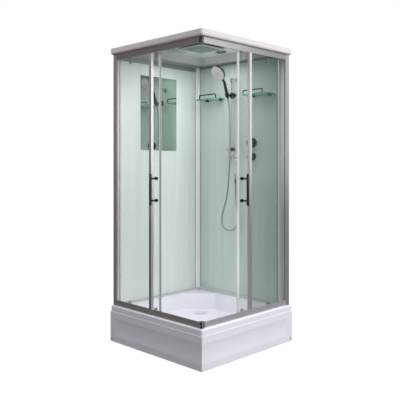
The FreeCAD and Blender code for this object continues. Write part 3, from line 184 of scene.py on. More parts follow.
def more_in_reflections(tree, usual, extra):
    """Usual value, and that much more for the rays that are reflected."""
    reflected = node(tree, "ShaderNodeLightPath").outputs["Is Glossy Ray"]
    return math_node(tree, "ADD", math_node(tree, "MULTIPLY", reflected, extra), usual)


def mixed_output(tree, kind, share, usual, shown):
    """Output that mixes a share of the shown shader into the usual one."""
    mix = node(tree, "ShaderNodeMixShader")
    for i, source in enumerate((share, usual.outputs[0], shown.outputs[0])):
        tree.links.new(source, mix.inputs[i])
    tree.links.new(mix.outputs[0], node(tree, kind).inputs[0])


BRIGHT_SIDE = (0.58, 0.52, 0.62)
DARK_SIDE_TINT = (1.0, 0.91, 0.92)
BRIGHT_SIDE_TINT = (0.99, 0.98, 1.0)


def studio_world():
    """White background; light that is strong from the right and weak from the left."""
    world = bpy.data.worlds.new("studio")
    scene.world = world
    world.use_nodes = True
    tree = world.node_tree
    tree.nodes.clear()
    direction = node(tree, "ShaderNodeTexCoord")
    side = node(tree, "ShaderNodeVectorMath", operation="DOT_PRODUCT")
    side.inputs[1].default_value = BRIGHT_SIDE
    tree.links.new(direction.outputs["Generated"], side.inputs[0])
    level = node(tree, "ShaderNodeMapRange", interpolation_type="SMOOTHSTEP")
    set_inputs(level, {"From Min": -0.8, "From Max": 0.8, "To Min": 0.0, "To Max": 1.0})
    tree.links.new(side.outputs["Value"], level.inputs["Value"])
    strength = math_node(tree, "MULTIPLY", level.outputs[0], more_in_reflections(tree, 0.72, 0.42))
    lowest = more_in_reflections(tree, 0.06, 0.09)
    soft = node(tree, "ShaderNodeBackground")
    tree.links.new(math_node(tree, "ADD", strength, lowest), soft.inputs["Strength"])
    tree.links.new(tone(tree, level.outputs[0], DARK_SIDE_TINT, BRIGHT_SIDE_TINT), soft.inputs["Color"])
    white = node(tree, "ShaderNodeBackground")
    set_inputs(white, {"Color": (1, 1, 1, 1)})
    mixed_output(tree, "ShaderNodeOutputWorld", background_rays(tree), soft, white)


def studio_floor():
    """Pale floor that keeps a faint shadow under the tray."""
    bpy.ops.mesh.primitive_plane_add(size=60, location=(0, 0, -0.5 * MM))
    floor = bpy.context.object
    floor.name = "floor"
    material = bpy.data.materials.new("studio_floor")
    material.use_nodes = True
    tree = material.node_tree
    tree.nodes.clear()
    matt = node(tree, "ShaderNodeBsdfDiffuse")
    tree.links.new(more_in_reflections(tree, 0.12, 0.08), matt.inputs["Color"])
    glow = node(tree, "ShaderNodeEmission")
    set_inputs(glow, {"Color": (1, 1, 1, 1), "Strength": 1.21})
    share = math_node(tree, "MULTIPLY", background_rays(tree), 0.82)
    mixed_output(tree, "ShaderNodeOutputMaterial", share, matt, glow)
    floor.data.materials.append(material)


# Soft lamps: name, place, point it is aimed at, (width, height), watts, spread in degrees
LAMPS = [
    ("right_lamp", (4.2, 0.4, 2.0), (0, 0, 1.0), (2.0, 2.4), 98, 180),
    ("far_right_lamp", (3.0, 3.4, 2.5), (0, 0, 1.4), (1.2, 1.8), 8, 180),
    ("left_lamp", (-1.0, -3.6, 3.6), (0, 0, 0.8), (2.0, 2.0), 49, 180),
    ("cabin_top_lamp", (0.02, 0.0, 2.0), (-0.1, 0.05, 0), (0.5, 0.5), 3.2, 180),
    ("tray_lamp", (0.0, -0.05, 1.95), (0.0, -0.05, 0), (0.4, 0.4), 0.8, 60),
    ("cabin_side_lamp", (0.36, -0.27, 1.2), (-0.45, -0.1, 1.1), (0.35, 1.5), 2.4, 180),
    ("ceiling_lamp", (0.0, 0.15, 1.6), (0.0, 0.15, 2.1), (0.4, 0.4), 0.7, 80),
]


def soft_lamp(name, place, aim, size, watts, spread_angle):
    """Soft lamp that is left out of reflections."""
    data = bpy.data.lights.new(name, "AREA")
    data.shape = "RECTANGLE"
    data.size, data.size_y = size
    data.energy = watts
    data.spread = math.radians(spread_angle)
    lamp = bpy.data.objects.new(name, data)
    lamp.location = place
    lamp.rotation_euler = (Vector(aim) - Vector(place)).to_track_quat("-Z", "Y").to_euler()
    lamp.visible_camera = False
    lamp.visible_glossy = False
    scene.collection.objects.link(lamp)


studio_world()
studio_floor()
for lamp_values in LAMPS:
    soft_lamp(*lamp_values)
scene.view_settings.view_transform = "Standard"


# Surface effects that several finishes share

def effect_group(name, inputs, outputs):
    """Empty shader group with float inputs (name, value) and outputs (name, kind)."""
    group = bpy.data.node_groups.new(name, "ShaderNodeTree")
    for label, value in inputs:
        socket = group.interface.new_socket(label, in_out="INPUT", socket_type="NodeSocketFloat")
        socket.default_value = value
    for label, kind in outputs:
        group.interface.new_socket(label, in_out="OUTPUT", socket_type="NodeSocket" + kind)
    return group, node(group, "NodeGroupInput"), node(group, "NodeGroupOutput")


def drawn_lines_group():
    """Fine lines left by drawing or brushing a profile along its length."""
    group, given, out = effect_group(
        "drawn_lines", [("Along X", 0.02), ("Along Y", 1.0), ("Along Z", 1.0), ("Scale", 400.0)],
        [("Lines", "Float"), ("Cloud", "Float")])
    place = node(group, "ShaderNodeTexCoord")
    stretch = node(group, "ShaderNodeCombineXYZ")
    for i, label in enumerate(("Along X", "Along Y", "Along Z")):
        group.links.new(given.outputs[label], stretch.inputs[i])
    scaled = node(group, "ShaderNodeVectorMath", operation="MULTIPLY")
    group.links.new(place.outputs["Object"], scaled.inputs[0])
    group.links.new(stretch.outputs[0], scaled.inputs[1])
    lines = node(group, "ShaderNodeTexNoise")
    set_inputs(lines, {"Detail": 3.0, "Roughness": 0.6})
    group.links.new(scaled.outputs[0], lines.inputs["Vector"])
    group.links.new(given.outputs["Scale"], lines.inputs["Scale"])
    cloud = node(group, "ShaderNodeTexNoise")
    set_inputs(cloud, {"Scale": 7.0, "Detail": 2.0})
    group.links.new(place.outputs["Object"], cloud.inputs["Vector"])
    group.links.new(lines.outputs[0], out.inputs["Lines"])
    group.links.new(cloud.outputs[0], out.inputs["Cloud"])
    return group


def moulded_skin_group():
    """Slight waviness and cloudiness of a moulded or rolled surface."""
    group, given, out = effect_group(
        "moulded_skin", [("Grain Scale", 900.0), ("Wave Scale", 12.0)],
        [("Grain", "Float"), ("Wave", "Float"), ("Cloud", "Float")])
    place = node(group, "ShaderNodeTexCoord")
    layers = [("Grain", "Grain Scale", 2.0), ("Wave", "Wave Scale", 1.0), ("Cloud", None, 3.0)]
    for label, source, detail in layers:
        noise = node(group, "ShaderNodeTexNoise")
        set_inputs(noise, {"Scale": 2.2, "Detail": detail})
        group.links.new(place.outputs["Object"], noise.inputs["Vector"])
        if source:
            group.links.new(given.outputs[source], noise.inputs["Scale"])
        group.links.new(noise.outputs[0], out.inputs[label])
    return group


def turned_away_group():
    """One on the faces that don't look along the given axis."""
    group, given, out = effect_group(
        "turned_away", [("Face X", 0.0), ("Face Y", 0.0), ("Face Z", 0.0)], [("Away", "Float")])
    place = node(group, "ShaderNodeTexCoord")
    axis = node(group, "ShaderNodeCombineXYZ")
    for i, label in enumerate(("Face X", "Face Y", "Face Z")):
        group.links.new(given.outputs[label], axis.inputs[i])
    facing = node(group, "ShaderNodeVectorMath", operation="DOT_PRODUCT")
    group.links.new(place.outputs["Normal"], facing.inputs[0])
    group.links.new(axis.outputs[0], facing.inputs[1])
    size = math_node(group, "ABSOLUTE", facing.outputs["Value"])
    group.links.new(math_node(group, "LESS_THAN", size, 0.5), out.inputs["Away"])
    return group


GROUPS = {
    "drawn_lines": drawn_lines_group(),
    "moulded_skin": moulded_skin_group(),
    "turned_away": turned_away_group(),
}


# Finishes

def finish_base(name, colour, roughness, settings):
    """Material with a Principled shader whose plain values sit on its own sockets."""
    material = bpy.data.materials.new(name)
    material.use_nodes = True
    tree = material.node_tree
    shader = tree.nodes["Principled BSDF"]
    set_inputs(shader, {"Base Color": (*colour, 1), "Roughness": roughness})
    set_inputs(shader, settings)
    return material, tree, shader


def use_group(tree, name, values):
    """Places a shared effect with its own values."""
    made = node(tree, "ShaderNodeGroup", node_tree=GROUPS[name])
    set_inputs(made, values)
    return made


def spread(tree, source, low, high):
    """Turns a noise value into a range."""
    made = node(tree, "ShaderNodeMapRange")
    set_inputs(made, {"From Min": 0.3, "From Max": 0.7, "To Min": low, "To Max": high})
    tree.links.new(source, made.inputs["Value"])
    return made.outputs[0]


def shade(colour, factor):
    """Darker or lighter colour."""
    return tuple(min(1.0, c * factor) for c in colour)


def raise_height(tree, source, strength, distance, shader):
    """Bump from a height value."""
    bump = node(tree, "ShaderNodeBump")
    set_inputs(bump, {"Strength": strength, "Distance": distance})
    tree.links.new(source, bump.inputs["Height"])
    tree.links.new(bump.outputs[0], shader.inputs["Normal"])


def vary_roughness(tree, source, roughness, shader):
    """Roughness that varies a little round its value."""
    tree.links.new(spread(tree, source, roughness * 0.85, roughness * 1.2), shader.inputs["Roughness"])


METAL = {"Metallic": 1.0}


def drawn_metal(name, colour, roughness, along, settings=None, flank=None, fade=None):
    """Metal with lines along its length.

    flank is (axis its front looks along, colour of the other faces), painted light on the faces turned from
    that axis;
    fade is (axis, where it starts, where it ends, shade at its start, shade at its end), a painted light and
    shade gradient.
    """
    material, tree, shader = finish_base(name, colour, roughness, {**METAL, **(settings or {})})
    stretch = {"Along X": 1.0, "Along Y": 1.0, "Along Z": 1.0, "Along " + along: 0.015}
    lines = use_group(tree, "drawn_lines", stretch)
    cloud = spread(tree, lines.outputs["Cloud"], 0, 1)
    front = tone(tree, cloud, shade(colour, 0.93), shade(colour, 1.05))
    # Painted light: the faces turned from the front get their own lighter or darker colour, for how light
    # falls on them.
    if flank:
        axis, side_colour = flank
        side = use_group(tree, "turned_away", {"Face " + axis: 1.0})
        both = node(tree, "ShaderNodeMix", data_type="RGBA")
        both.inputs[7].default_value = (*side_colour, 1)
        tree.links.new(side.outputs[0], both.inputs[0])
        tree.links.new(front, both.inputs[6])
        front = both.outputs[2]
    # Painted light and shade: the colour is multiplied by a gradient along one axis.
    if fade:
        axis, start, end, start_shade, end_shade = fade
        place = node(tree, "ShaderNodeSeparateXYZ")
        tree.links.new(node(tree, "ShaderNodeTexCoord").outputs["Object"], place.inputs[0])
        way = node(tree, "ShaderNodeMapRange", interpolation_type="SMOOTHSTEP")
        set_inputs(way, {"From Min": start, "From Max": end, "To Min": 0.0, "To Max": 1.0})
        tree.links.new(place.outputs[axis], way.inputs["Value"])
        shaded = node(tree, "ShaderNodeMix", data_type="RGBA", blend_type="MULTIPLY")
        shaded.inputs[0].default_value = 1.0
        tree.links.new(front, shaded.inputs[6])
        tree.links.new(tone(tree, way.outputs[0], (start_shade,) * 3, (end_shade,) * 3), shaded.inputs[7])
        front = shaded.outputs[2]
    tree.links.new(front, shader.inputs["Base Color"])
    vary_roughness(tree, lines.outputs["Lines"], roughness, shader)
    raise_height(tree, lines.outputs["Lines"], 0.25, 0.02 * MM, shader)
    return material


def moulded(name, colour, roughness, settings=None, grain=0.05, wave=0.2):
    """Plastic, acrylic, rubber or coated surface."""
    material, tree, shader = finish_base(name, colour, roughness, settings or {})
    skin = use_group(tree, "moulded_skin", {})
    cloud = spread(tree, skin.outputs["Cloud"], 0, 1)
    tree.links.new(tone(tree, cloud, shade(colour, 0.965), shade(colour, 1.02)), shader.inputs["Base Color"])
    vary_roughness(tree, skin.outputs["Grain"], roughness, shader)
    height = math_node(tree, "ADD", math_node(tree, "MULTIPLY", skin.outputs["Grain"], grain),
                       math_node(tree, "MULTIPLY", skin.outputs["Wave"], wave))
    raise_height(tree, height, 0.3, 0.3 * MM, shader)
    return material


def reflection_banded(name, colour, roughness, settings):
    """Coated panel with faint upright bands of painted reflection."""
    material, tree, shader = finish_base(name, colour, roughness, settings)
    stretch = {"Along X": 1.0, "Along Y": 1.0, "Along Z": 0.03, "Scale": 26.0}
    bands = use_group(tree, "drawn_lines", stretch)
    band = spread(tree, bands.outputs["Lines"], 0, 1)
    tree.links.new(tone(tree, band, shade(colour, 0.95), shade(colour, 1.04)), shader.inputs["Base Color"])
    vary_roughness(tree, bands.outputs["Cloud"], roughness, shader)
    skin = use_group(tree, "moulded_skin", {"Wave Scale": 9.0})
    raise_height(tree, skin.outputs["Wave"], 0.2, 0.3 * MM, shader)
    return material


def pane(name, colour, edge_colour, axis, body, edge_body):
    """Clear glass across an axis: faces whose colour and alpha paint a pale reflection on some panes and shade
    on others, deep green edges, each with its own alpha.
    """
    material, tree, shader = finish_base(name, colour, 0.03, {"IOR": 1.5})
    edge = use_group(tree, "turned_away", {"Face " + axis: 1.0})
    tree.links.new(tone(tree, edge.outputs[0], colour, edge_colour), shader.inputs["Base Color"])
    alpha = node(tree, "ShaderNodeMapRange")
    set_inputs(alpha, {"To Min": body, "To Max": edge_body})
    tree.links.new(edge.outputs[0], alpha.inputs["Value"])
    tree.links.new(alpha.outputs[0], shader.inputs["Alpha"])
    skin = use_group(tree, "moulded_skin", {"Wave Scale": 3.0})
    raise_height(tree, skin.outputs["Wave"], 0.1, 0.3 * MM, shader)
    return material


def lower_half(dark):
    """Painted shade: fade for an upright whose lower half is darker, as less light falls there."""
    return "Z", 0.75, 1.5, dark, 1.0


ALUMINIUM = (0.56, 0.53, 0.52)
# Near white for painted light on lit flanks and for the corner bead's painted highlight.
BRIGHT = (1.0, 0.99, 0.98)
GLASS_EDGE = (0.03, 0.14, 0.10)
SATIN = {"Metallic": 0.15, "Coat Weight": 0.3, "Coat Roughness": 0.1}
COATED = {"Coat Weight": 0.3}
WALL_COAT = {"Coat Weight": 0.5, "Coat Roughness": 0.05}
CHROME_COAT_SETTINGS = {"Metallic": 1.0, "Coat Weight": 1.0, "Coat Roughness": 0.03}

FINISHES = {
    "acrylic": moulded("white_acrylic", (0.84, 0.83, 0.90), 0.26, {"Coat Weight": 0.3, "Coat Roughness": 0.1}),
    "roof": moulded("white_roof", (0.76, 0.725, 0.74), 0.30, COATED),
    "ceiling": moulded("ceiling_plastic", (0.42, 0.44, 0.445), 0.3, COATED),
    "aluminium_x": drawn_metal("aluminium_along_x", ALUMINIUM, 0.36, "X"),
    # Painted light and shade: the right top rail is lighter near the entrance corner and darker towards its
    # far end.
    "top_y": drawn_metal("aluminium_along_y", (0.53, 0.51, 0.51), 0.36, "Y",
                         fade=("Y", -0.45, 0.45, 1.0, 0.53)),
    # Painted light: the right bottom rail is the same aluminium as the left rails, set near white for the
    # light on its side.
    "bottom_y": drawn_metal("lit_aluminium_along_y", (0.95, 0.94, 0.96), 0.36, "Y"),
    # Painted light and shade on the uprights: each front is toned lighter or darker for the light on its side,
    # the flanks are near white for light falling on them, and the lower halves darker.
    "post_left": drawn_metal("left_post", (0.48, 0.475, 0.46), 0.36, "Z", {"Metallic": 0.5},
                             ("Y", BRIGHT), lower_half(0.82)),
    "post_right": drawn_metal("right_post", (0.37, 0.35, 0.35), 0.36, "Z", SATIN,
                              ("X", BRIGHT), lower_half(0.58)),
    # Painted light: a dark front and pale flanks, for how light falls on the profile's sides.
    "corner_profile": drawn_metal("corner_profile", (0.16, 0.17, 0.17), 0.3, "Z", SATIN,
                                  ("Y", (0.85, 0.88, 0.89))),
    # Painted highlight: the near-white bead stands in for the highlight down the profile's bevel.
    "highlight_z": drawn_metal("bead_painted_highlight", BRIGHT, 0.2, "Z", SATIN),
    "stile_left": drawn_metal("left_stile", (0.48, 0.47, 0.455), 0.2, "Z", SATIN,
                              ("Y", BRIGHT), lower_half(0.42)),
    "stile_right": drawn_metal("right_stile", (0.60, 0.61, 0.60), 0.2, "Z", SATIN,
                               ("X", BRIGHT), lower_half(0.45)),
    # Painted light: the left and right door profiles are one profile; the left ones are set near white for the
    # light on them.
    "door_edge": moulded("door_profile", (0.60, 0.65, 0.62), 0.25, COATED),
    "lit_edge": moulded("lit_door_profile", (0.97, 1.0, 0.98), 0.25, COATED),
    # Painted reflection: these chrome parts are set near black for the dark surroundings they reflect.
    "knob": moulded("chrome_painted_black", (0.015, 0.016, 0.016), 0.12, {"Metallic": 0.85}, 0.0, 0.0),
    # Painted reflection and shade: the three clear panes are one glass; the left panes' pale faces are a
    # painted reflection and the right panes' dark faces painted shade.
    "glass_left": pane("glass_left", (0.62, 0.70, 0.67), GLASS_EDGE, "Y", 0.06, 0.85),
    "glass_right": pane("glass_right", (0.03, 0.10, 0.06), GLASS_EDGE, "X", 0.08, 0.85),
    "glass_fixed": pane("fixed_glass", (0.01, 0.08, 0.04), GLASS_EDGE, "X", 0.15, 0.85),
    "glass_shelf": pane("glass_shelf", (0.25, 0.5, 0.42), (0.06, 0.36, 0.27), "Z", 0.35, 0.97),
    "wall": reflection_banded("coated_wall", (0.69, 0.765, 0.735), 0.12, WALL_COAT),
    "wall_right": reflection_banded("shaded_wall", (0.575, 0.67, 0.615), 0.12, WALL_COAT),
    "mirror": moulded("silvered_glass", (0.56, 0.67, 0.60), 0.03, METAL, 0.0, 0.05),
    "black_plastic": moulded("black_plastic", (0.02, 0.02, 0.02), 0.25,
                             {"Coat Weight": 0.6, "Coat Roughness": 0.05}),
    "seal": moulded("clear_seal", (0.70, 0.72, 0.72), 0.3, {"Alpha": 0.75}),
    "gasket": moulded("dark_gasket", (0.03, 0.03, 0.03), 0.6),
    # Painted reflection: this chrome is darkened for the dark surroundings it reflects.
    "chrome": moulded("dark_chrome", (0.11, 0.115, 0.115), 0.1, CHROME_COAT_SETTINGS, 0.0, 0.0),
    "bright_chrome": moulded("bright_chrome", (0.80, 0.81, 0.82), 0.12, METAL, 0.0, 0.0),
    "steel": drawn_metal("galvanised_steel", (0.45, 0.46, 0.47), 0.4, "X"),
    "white_plastic": moulded("white_plastic", (0.80, 0.80, 0.79), 0.35),
    "lens": moulded("light_lens", (0.10, 0.13, 0.12), 0.2, {"Coat Weight": 0.5}),
    "clear_plastic": moulded("clear_plastic", (0.62, 0.68, 0.67), 0.08, {"Alpha": 0.45, "Coat Weight": 1.0}),
    "drain": moulded("drain_plastic", (0.70, 0.69, 0.75), 0.4, {"Coat Weight": 0.4}),
    "brass": moulded("raw_brass", (0.55, 0.42, 0.20), 0.35, METAL),
    "hanger": moulded("hanger_grey", (0.46, 0.50, 0.48), 0.4, {"Alpha": 0.4}),
    "roller": moulded("roller_plastic", (0.40, 0.43, 0.43), 0.35),
    "hose": moulded("hose_metal", (0.42, 0.42, 0.415), 0.3, {"Metallic": 0.6}),
    "sealant": moulded("sealant", (0.80, 0.80, 0.82), 0.4),
    "handset_white": moulded("handset_white", (0.24, 0.232, 0.232), 0.35, COATED),
    "nozzle": moulded("nozzle_rubber", (0.60, 0.60, 0.63), 0.5),
    "handle": moulded("black_handle", (0.012, 0.013, 0.013), 0.15,
                      {"Coat Weight": 0.3, "Coat Roughness": 0.05}),
    "base_rail": moulded("base_rail", (0.50, 0.51, 0.53), 0.4),
    "trim": moulded("dark_trim", (0.25, 0.285, 0.27), 0.45),
    "rubber": moulded("dark_mat", (0.09, 0.15, 0.13), 0.5),
    "plate": moulded("plate_plastic", (0.36, 0.41, 0.40), 0.3, COATED),
}

# The CAD nodes that wear each finish
WEARS = {
    "acrylic": ["tray", "apron"],
    "roof": ["roof_cover"],
    "ceiling": ["ceiling_panel"],
    "aluminium_x": ["top_rail_left", "bottom_rail_left"],
    "base_rail": ["wall_base_rails"],
    "trim": ["wall_top_trims"],
    "top_y": ["top_rail_right"],
    "bottom_y": ["bottom_rail_right"],
    "post_left": ["wall_post_left"],
    "post_right": ["wall_post_right"],
    "corner_profile": ["corner_post"],
    "stile_left": ["stile_left"],
    "stile_right": ["stile_right"],
    "lit_edge": ["door_profiles_left"],
    "door_edge": ["door_profiles_right"],
    "knob": ["mixer_plates", "mixer_knob", "diverter_knob", "shelf_fittings"],
    "glass_left": ["fixed_glass_left", "door_glass_left"],
    "glass_right": ["door_glass_right"],
    "glass_fixed": ["fixed_glass_right"],
    "glass_shelf": ["shelf_glass"],
    "wall": ["wall_panel_left"],
    "wall_right": ["wall_panel_right"],
    "mirror": ["mirror"],
    "black_plastic": ["corner_block_top", "corner_block_bottom"],
    "seal": ["door_seal_left", "door_seal_right"],
    "gasket": ["glazing_gaskets"],
    "handle": ["door_handle_left", "door_handle_right"],
    "chrome": ["slider", "handset_holder", "handset"],
    "plate": ["rain_plate", "vent_grille"],
    "bright_chrome": ["riser_rail", "riser_brackets", "outlet_elbow"],
    "drain": ["drain_cover"],
    "steel": ["tray_frame", "adjustable_feet", "apron_fixings"],
    "white_plastic": ["drain_trap", "supply_pipes"],
    "lens": ["ceiling_light"],
    "clear_plastic": ["soap_dish"],
    "brass": ["mixer_body"],
    "hanger": ["door_roller_mounts_left", "door_roller_mounts_right"],
    "roller": ["wheel_lead_left", "wheel_tail_left", "wheel_lead_right", "wheel_tail_right"],
}

for look, names in WEARS.items():
    for name in names:
        for slot in nodes_of[name].material_slots:
            slot.material = FINISHES[look]
hose.data.materials.append(FINISHES["hose"])


# Modelling steps that several pieces share

# Distance in mm under which points are merged, angle in degrees under which faces look smooth
MERGE_DISTANCE = 0.01
SMOOTH_ANGLE = 35


def edit(piece):
    """Opens one piece for editing, with nothing selected in it."""
    choose(piece)
    bpy.ops.object.mode_set(mode="EDIT")
    bpy.ops.mesh.select_all(action="DESELECT")


def pick_edges(piece, test):
    """Selects the edges whose two ends pass a test on (a, b)."""
    bpy.ops.mesh.select_all(action="DESELECT")
    bpy.ops.mesh.select_mode(type="EDGE")
    bpy.ops.object.mode_set(mode="OBJECT")
    mesh = piece.data
    for edge in mesh.edges:
        a, b = (mesh.vertices[i].co for i in edge.vertices)
        edge.select = test(a, b)
    bpy.ops.object.mode_set(mode="EDIT")


def finish(piece, material, body, stands_for=()):
    """Closes the piece, applies its place, and gives it its finish and its body."""
    if bpy.context.mode == "EDIT_MESH":
        bpy.ops.mesh.select_all(action="SELECT")
        bpy.ops.mesh.remove_doubles(threshold=MERGE_DISTANCE * MM)
        bpy.ops.mesh.normals_make_consistent(inside=False)
        bpy.ops.object.mode_set(mode="OBJECT")
    bpy.ops.object.transform_apply(location=True, rotation=True, scale=True)
    bpy.ops.object.shade_smooth_by_angle(angle=math.radians(SMOOTH_ANGLE))
    piece.modifiers.new("flat_faces_stay_flat", "WEIGHTED_NORMAL").keep_sharp = True
    bpy.ops.object.modifier_apply(modifier="flat_faces_stay_flat")
    piece.data.materials.clear()
    piece.data.materials.append(FINISHES[material])
    for node_name in stands_for:
        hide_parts(node_name)
    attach(piece, body)


def softened(node_name, name, steps, dropped=None):
    """White acrylic skin: copy of a CAD node with chosen edges rounded.

    steps are (test, width in mm, segments); dropped is a test for edges that are dissolved first.
    """
    piece = bpy.data.objects.new(name, nodes_of[node_name].data.copy())
    scene.collection.objects.link(piece)
    edit(piece)
    bpy.ops.mesh.select_all(action="SELECT")
    bpy.ops.mesh.remove_doubles(threshold=MERGE_DISTANCE * MM)
    bpy.ops.mesh.dissolve_limited(angle_limit=math.radians(0.5))
    if dropped:
        pick_edges(piece, dropped)
        bpy.ops.mesh.dissolve_edges()
    for test, width, segments in steps:
        pick_edges(piece, test)
        bpy.ops.mesh.bevel(offset=width * MM, offset_type="OFFSET", segments=segments,
                           profile=0.5, clamp_overlap=True)
    bpy.ops.object.mode_set(mode="OBJECT")
    bpy.ops.mesh.customdata_custom_splitnormals_clear()
    finish(piece, "acrylic", "enclosure", [node_name])


def block(name, low, high, edge):
    """Block between two corners in mm, with bevelled edges, left open for editing."""
    size = [(b - a) * MM for a, b in zip(low, high)]
    middle = [(a + b) / 2 * MM for a, b in zip(low, high)]
    choose()
    bpy.ops.mesh.primitive_cube_add(size=1, location=middle)
    piece = bpy.context.object
    piece.name = name
    edit(piece)
    bpy.ops.mesh.select_all(action="SELECT")
    bpy.ops.transform.resize(value=size)
    bpy.ops.mesh.bevel(offset=edge * MM, segments=2, affect="EDGES")
    return piece


def ringed(name, rings, base, axis, sides):
    """Turned piece: a disc drawn out ring by ring, each (radius, height) in mm along the axis."""
    choose()
    radius, height = rings[0]
    bpy.ops.mesh.primitive_circle_add(vertices=sides, radius=radius * MM, fill_type="NGON",
                                      location=(0, 0, height * MM))
    piece = bpy.context.object
    piece.name = name
    bpy.ops.object.transform_apply(location=True, rotation=False, scale=False)
    edit(piece)
    bpy.ops.mesh.select_all(action="SELECT")
    for next_radius, next_height in rings[1:]:
        rise = (next_height - height) * MM
        growth = next_radius / radius
        bpy.ops.mesh.extrude_region_move(TRANSFORM_OT_translate={"value": (0, 0, rise)})
        bpy.ops.transform.resize(value=(growth, growth, 1))
        radius, height = next_radius, next_height
    bpy.ops.object.mode_set(mode="OBJECT")
    piece.location = [value * MM for value in base]
    piece.rotation_euler = Vector(axis).to_track_quat("Z", "Y").to_euler()
    edit(piece)
    return piece


def joined(name, pieces):
    """One piece from several."""
    choose(*pieces)
    bpy.ops.object.join()
    pieces[0].name = name
    return pieces[0]


def copies_at(first, places):
    """The first piece and copies of it, moved to places in mm."""
    pieces = [first]
    for place in places[1:]:
        copy = bpy.data.objects.new(first.name, first.data.copy())
        scene.collection.objects.link(copy)
        copy.location = place * MM
        pieces.append(copy)
    first.location = places[0] * MM
    choose(*pieces)
    bpy.ops.object.transform_apply(location=True, rotation=True, scale=True)
    return pieces


# Tray and apron

# Heights and distances of the two skins' edges, in mm
LEVEL_SLACK = 0.6
PANEL_FOOT, PANEL_INNER_FOOT, PANEL_INNER_TOP, PANEL_TOP = 46, 98, 114, 171
FLOOR_HEIGHT, RIM_HEIGHT = 115, 248
BASIN_REACH = 399
DRAIN_PLACE = (-228, 228)
DRAIN_REACH = 50


def level_edge(a, b, z):
    """True for a level edge at height z in mm."""
    return max(abs(a.z / MM - z), abs(b.z / MM - z)) < LEVEL_SLACK


def apron_skin():
    """Apron whose sunk panel is one hollow curve between crisp borders."""
    def crease(z, out):
        return lambda a, b: level_edge(a, b, z) and max(a.x, b.x, -a.y, -b.y) > out * MM

    steps = [(crease(PANEL_INNER_TOP, 450), 46, 12)]
    steps += [(crease(border, 458), 2.5, 3) for border in (PANEL_FOOT, PANEL_TOP)]
    softened("apron", "apron_skin", steps, crease(PANEL_INNER_FOOT, 450))


def tray_skin():
    """Tray with a coved basin floor and a soft rim round the basin."""
    def inside(a, b):
        return max(abs(a.x), abs(b.x), abs(a.y), abs(b.y)) < BASIN_REACH * MM

    def floor_edge(a, b):
        away = min((c.xy - Vector(DRAIN_PLACE) * MM).length for c in (a, b))
        return level_edge(a, b, FLOOR_HEIGHT) and inside(a, b) and away > DRAIN_REACH * MM

    def rim_edge(a, b):
        return level_edge(a, b, RIM_HEIGHT) and inside(a, b)

    softened("tray", "tray_skin", [(floor_edge, 26, 6), (rim_edge, 9, 5)])


def sealant_beads():
    """White sealant where the wall rails stand on the tray."""
    for name, low, high in (("sealant_left", (-397.6, -396, 248), (-393, 366, 252.5)),
                            ("sealant_right", (-389, 368.5, 248), (396, 373.6, 252.5))):
        finish(block(name, low, high, 1.6), "sealant", "enclosure")


# Frame

def corner_bead():
    """Round bead down the bevel of the back corner profile, near white as a painted highlight."""
    choose()
    bpy.ops.mesh.primitive_cylinder_add(vertices=24, radius=4.2 * MM, depth=1776 * MM)
    piece = bpy.context.object
    piece.name = "corner_bead"
    piece.location = (-0.4285, 0.3915, 1.15)
    edit(piece)
    bpy.ops.mesh.select_all(action="SELECT")
    bpy.ops.mesh.bevel(offset=0.8 * MM, segments=2, affect="EDGES")
    finish(piece, "highlight_z", "enclosure")


def corner_joint():
    """Dark joint between the corner profile and the right wall."""
    joint = block("corner_joint", (-421, 411.8, 262), (-413, 413.5, 2036), 0.4)
    finish(joint, "trim", "enclosure")


def rail_ends():
    """Caps of the rails, which reach over the arms of the corner blocks, and a pale strip that paints a
    highlight on the bottom block's corner.
    """
    caps = [
        ("cap_bottom_left", (409.8, -440.4, 256), (424, -439, 296), "aluminium_x"),
        ("cap_bottom_right", (439, -417.6, 256), (440.4, -409.8, 296), "bottom_y"),
        ("cap_top_left", (409.8, -440.4, 1998), (415, -439, 2038), "aluminium_x"),
        ("cap_top_right", (439, -423.5, 1998), (440.4, -409.8, 2038), "top_y"),
        # Painted highlight: a pale strip where light catches the bottom corner block's rounded corner.
        ("corner_highlight_strip", (439, -435.5, 257), (440.5, -429, 295), "bottom_y"),
    ]
    for name, low, high, look in caps:
        finish(block(name, low, high, 0.3), look, "enclosure")


def block_screws():
    """Screws in the two corner blocks."""
    places = [((428, -440.2, 2012), (0, -1, 0)), ((440.2, -432, 2011), (1, 0, 0)),
              ((432, -440.2, 276), (0, -1, 0)), ((440.2, -423, 288), (1, 0, 0))]
    head = [(3.2, -0.6), (3.2, 0.3), (2.6, 0.9), (1.2, 1.1), (1.0, 0.4)]
    screws = []
    for place, axis in places:
        screws.append(ringed("screw", head, place, axis, 20))
        bpy.ops.object.mode_set(mode="OBJECT")
    finish(joined("block_screws", screws), "bright_chrome", "enclosure")


# Ceiling

def light_bezel():
    """Chrome ring round the ceiling light."""
    choose()
    bpy.ops.mesh.primitive_torus_add(major_radius=39 * MM, minor_radius=3.2 * MM,
                                     major_segments=64, minor_segments=16,
                                     location=(-0.006, 0.212, 2.0855))
    piece = bpy.context.object
    piece.name = "light_bezel"
    edit(piece)
    bpy.ops.mesh.select_all(action="SELECT")
    bpy.ops.transform.resize(value=(1, 1, 0.6))
    finish(piece, "chrome", "enclosure")


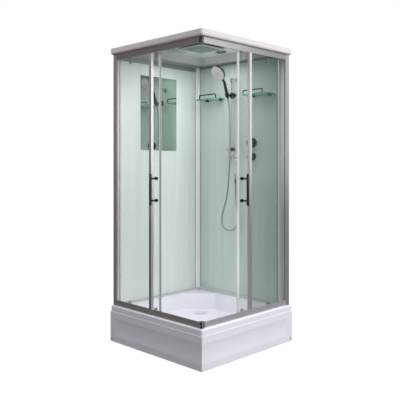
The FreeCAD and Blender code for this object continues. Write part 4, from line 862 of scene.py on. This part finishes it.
def rain_mat():
    """Dark rubber mat under the rain plate, with rows of nozzles."""
    underside = 2073.4
    mat = block("rain_mat", (-96, -96, underside), (96, 96, 2076.2), 1.0)
    finish(mat, "rubber", "enclosure")
    rows = 11
    pitch = 16.5
    first = ringed("rain_nozzle", [(2.6, -0.2), (2.3, 1.6), (1.4, 3.0)], (0, 0, 0), (0, 0, -1), 8)
    finish(first, "plate", "enclosure")
    steps = [(i - rows // 2) * pitch for i in range(rows)]
    nozzles = copies_at(first, [Vector((x, y, underside)) for x in steps for y in steps])
    finish(joined("rain_nozzles", nozzles), "plate", "enclosure")


# Shower fittings

def handset_face():
    """Pale spray face of the handset: a shallow dome with rings of small nozzles."""
    centre = Vector((-26, 197, 1929))
    normal = Vector((0, -0.8192, -0.5736))
    profile = [(50, -1.5), (57, -0.6), (57.6, 0.6), (56.4, 1.6), (46, 2.6), (30, 3.4),
               (13, 3.8), (12, 2.8), (10.5, 2.8), (9.5, 4.0), (4, 4.4), (1, 4.4)]
    dome = ringed("handset_face", profile, centre, normal, 72)
    bpy.ops.object.mode_set(mode="OBJECT")
    across = Vector((1, 0, 0))
    down = normal.cross(across)
    places = []
    for count, radius, lift in ((10, 19, 3.5), (18, 29, 3.2), (26, 39, 2.7), (32, 48, 2.2)):
        for i in range(count):
            angle = 2 * math.pi * i / count
            outward = across * math.cos(angle) + down * math.sin(angle)
            places.append(centre + normal * lift + outward * radius)
    finish(dome, "handset_white", "holder")
    first = ringed("nozzle", [(1.9, -0.8), (1.7, 0.6), (1.1, 1.4)], (0, 0, 0), normal, 8)
    finish(first, "nozzle", "holder")
    finish(joined("handset_nozzles", copies_at(first, places)), "nozzle", "holder")


def dish_clamp():
    """Chrome ring that clamps the soap dish to the riser, darkened as a painted reflection."""
    profile = [(14.5, 1356), (18.5, 1356.5), (20, 1358.5), (20, 1383.5), (18.5, 1385.5), (14.5, 1386)]
    piece = ringed("dish_clamp", profile, (-26, 363, 0), (0, 0, 1), 48)
    finish(piece, "chrome", "enclosure")


apron_skin()
tray_skin()
sealant_beads()
corner_bead()
corner_joint()
rail_ends()
block_screws()
light_bezel()
rain_mat()
handset_face()
dish_clamp()
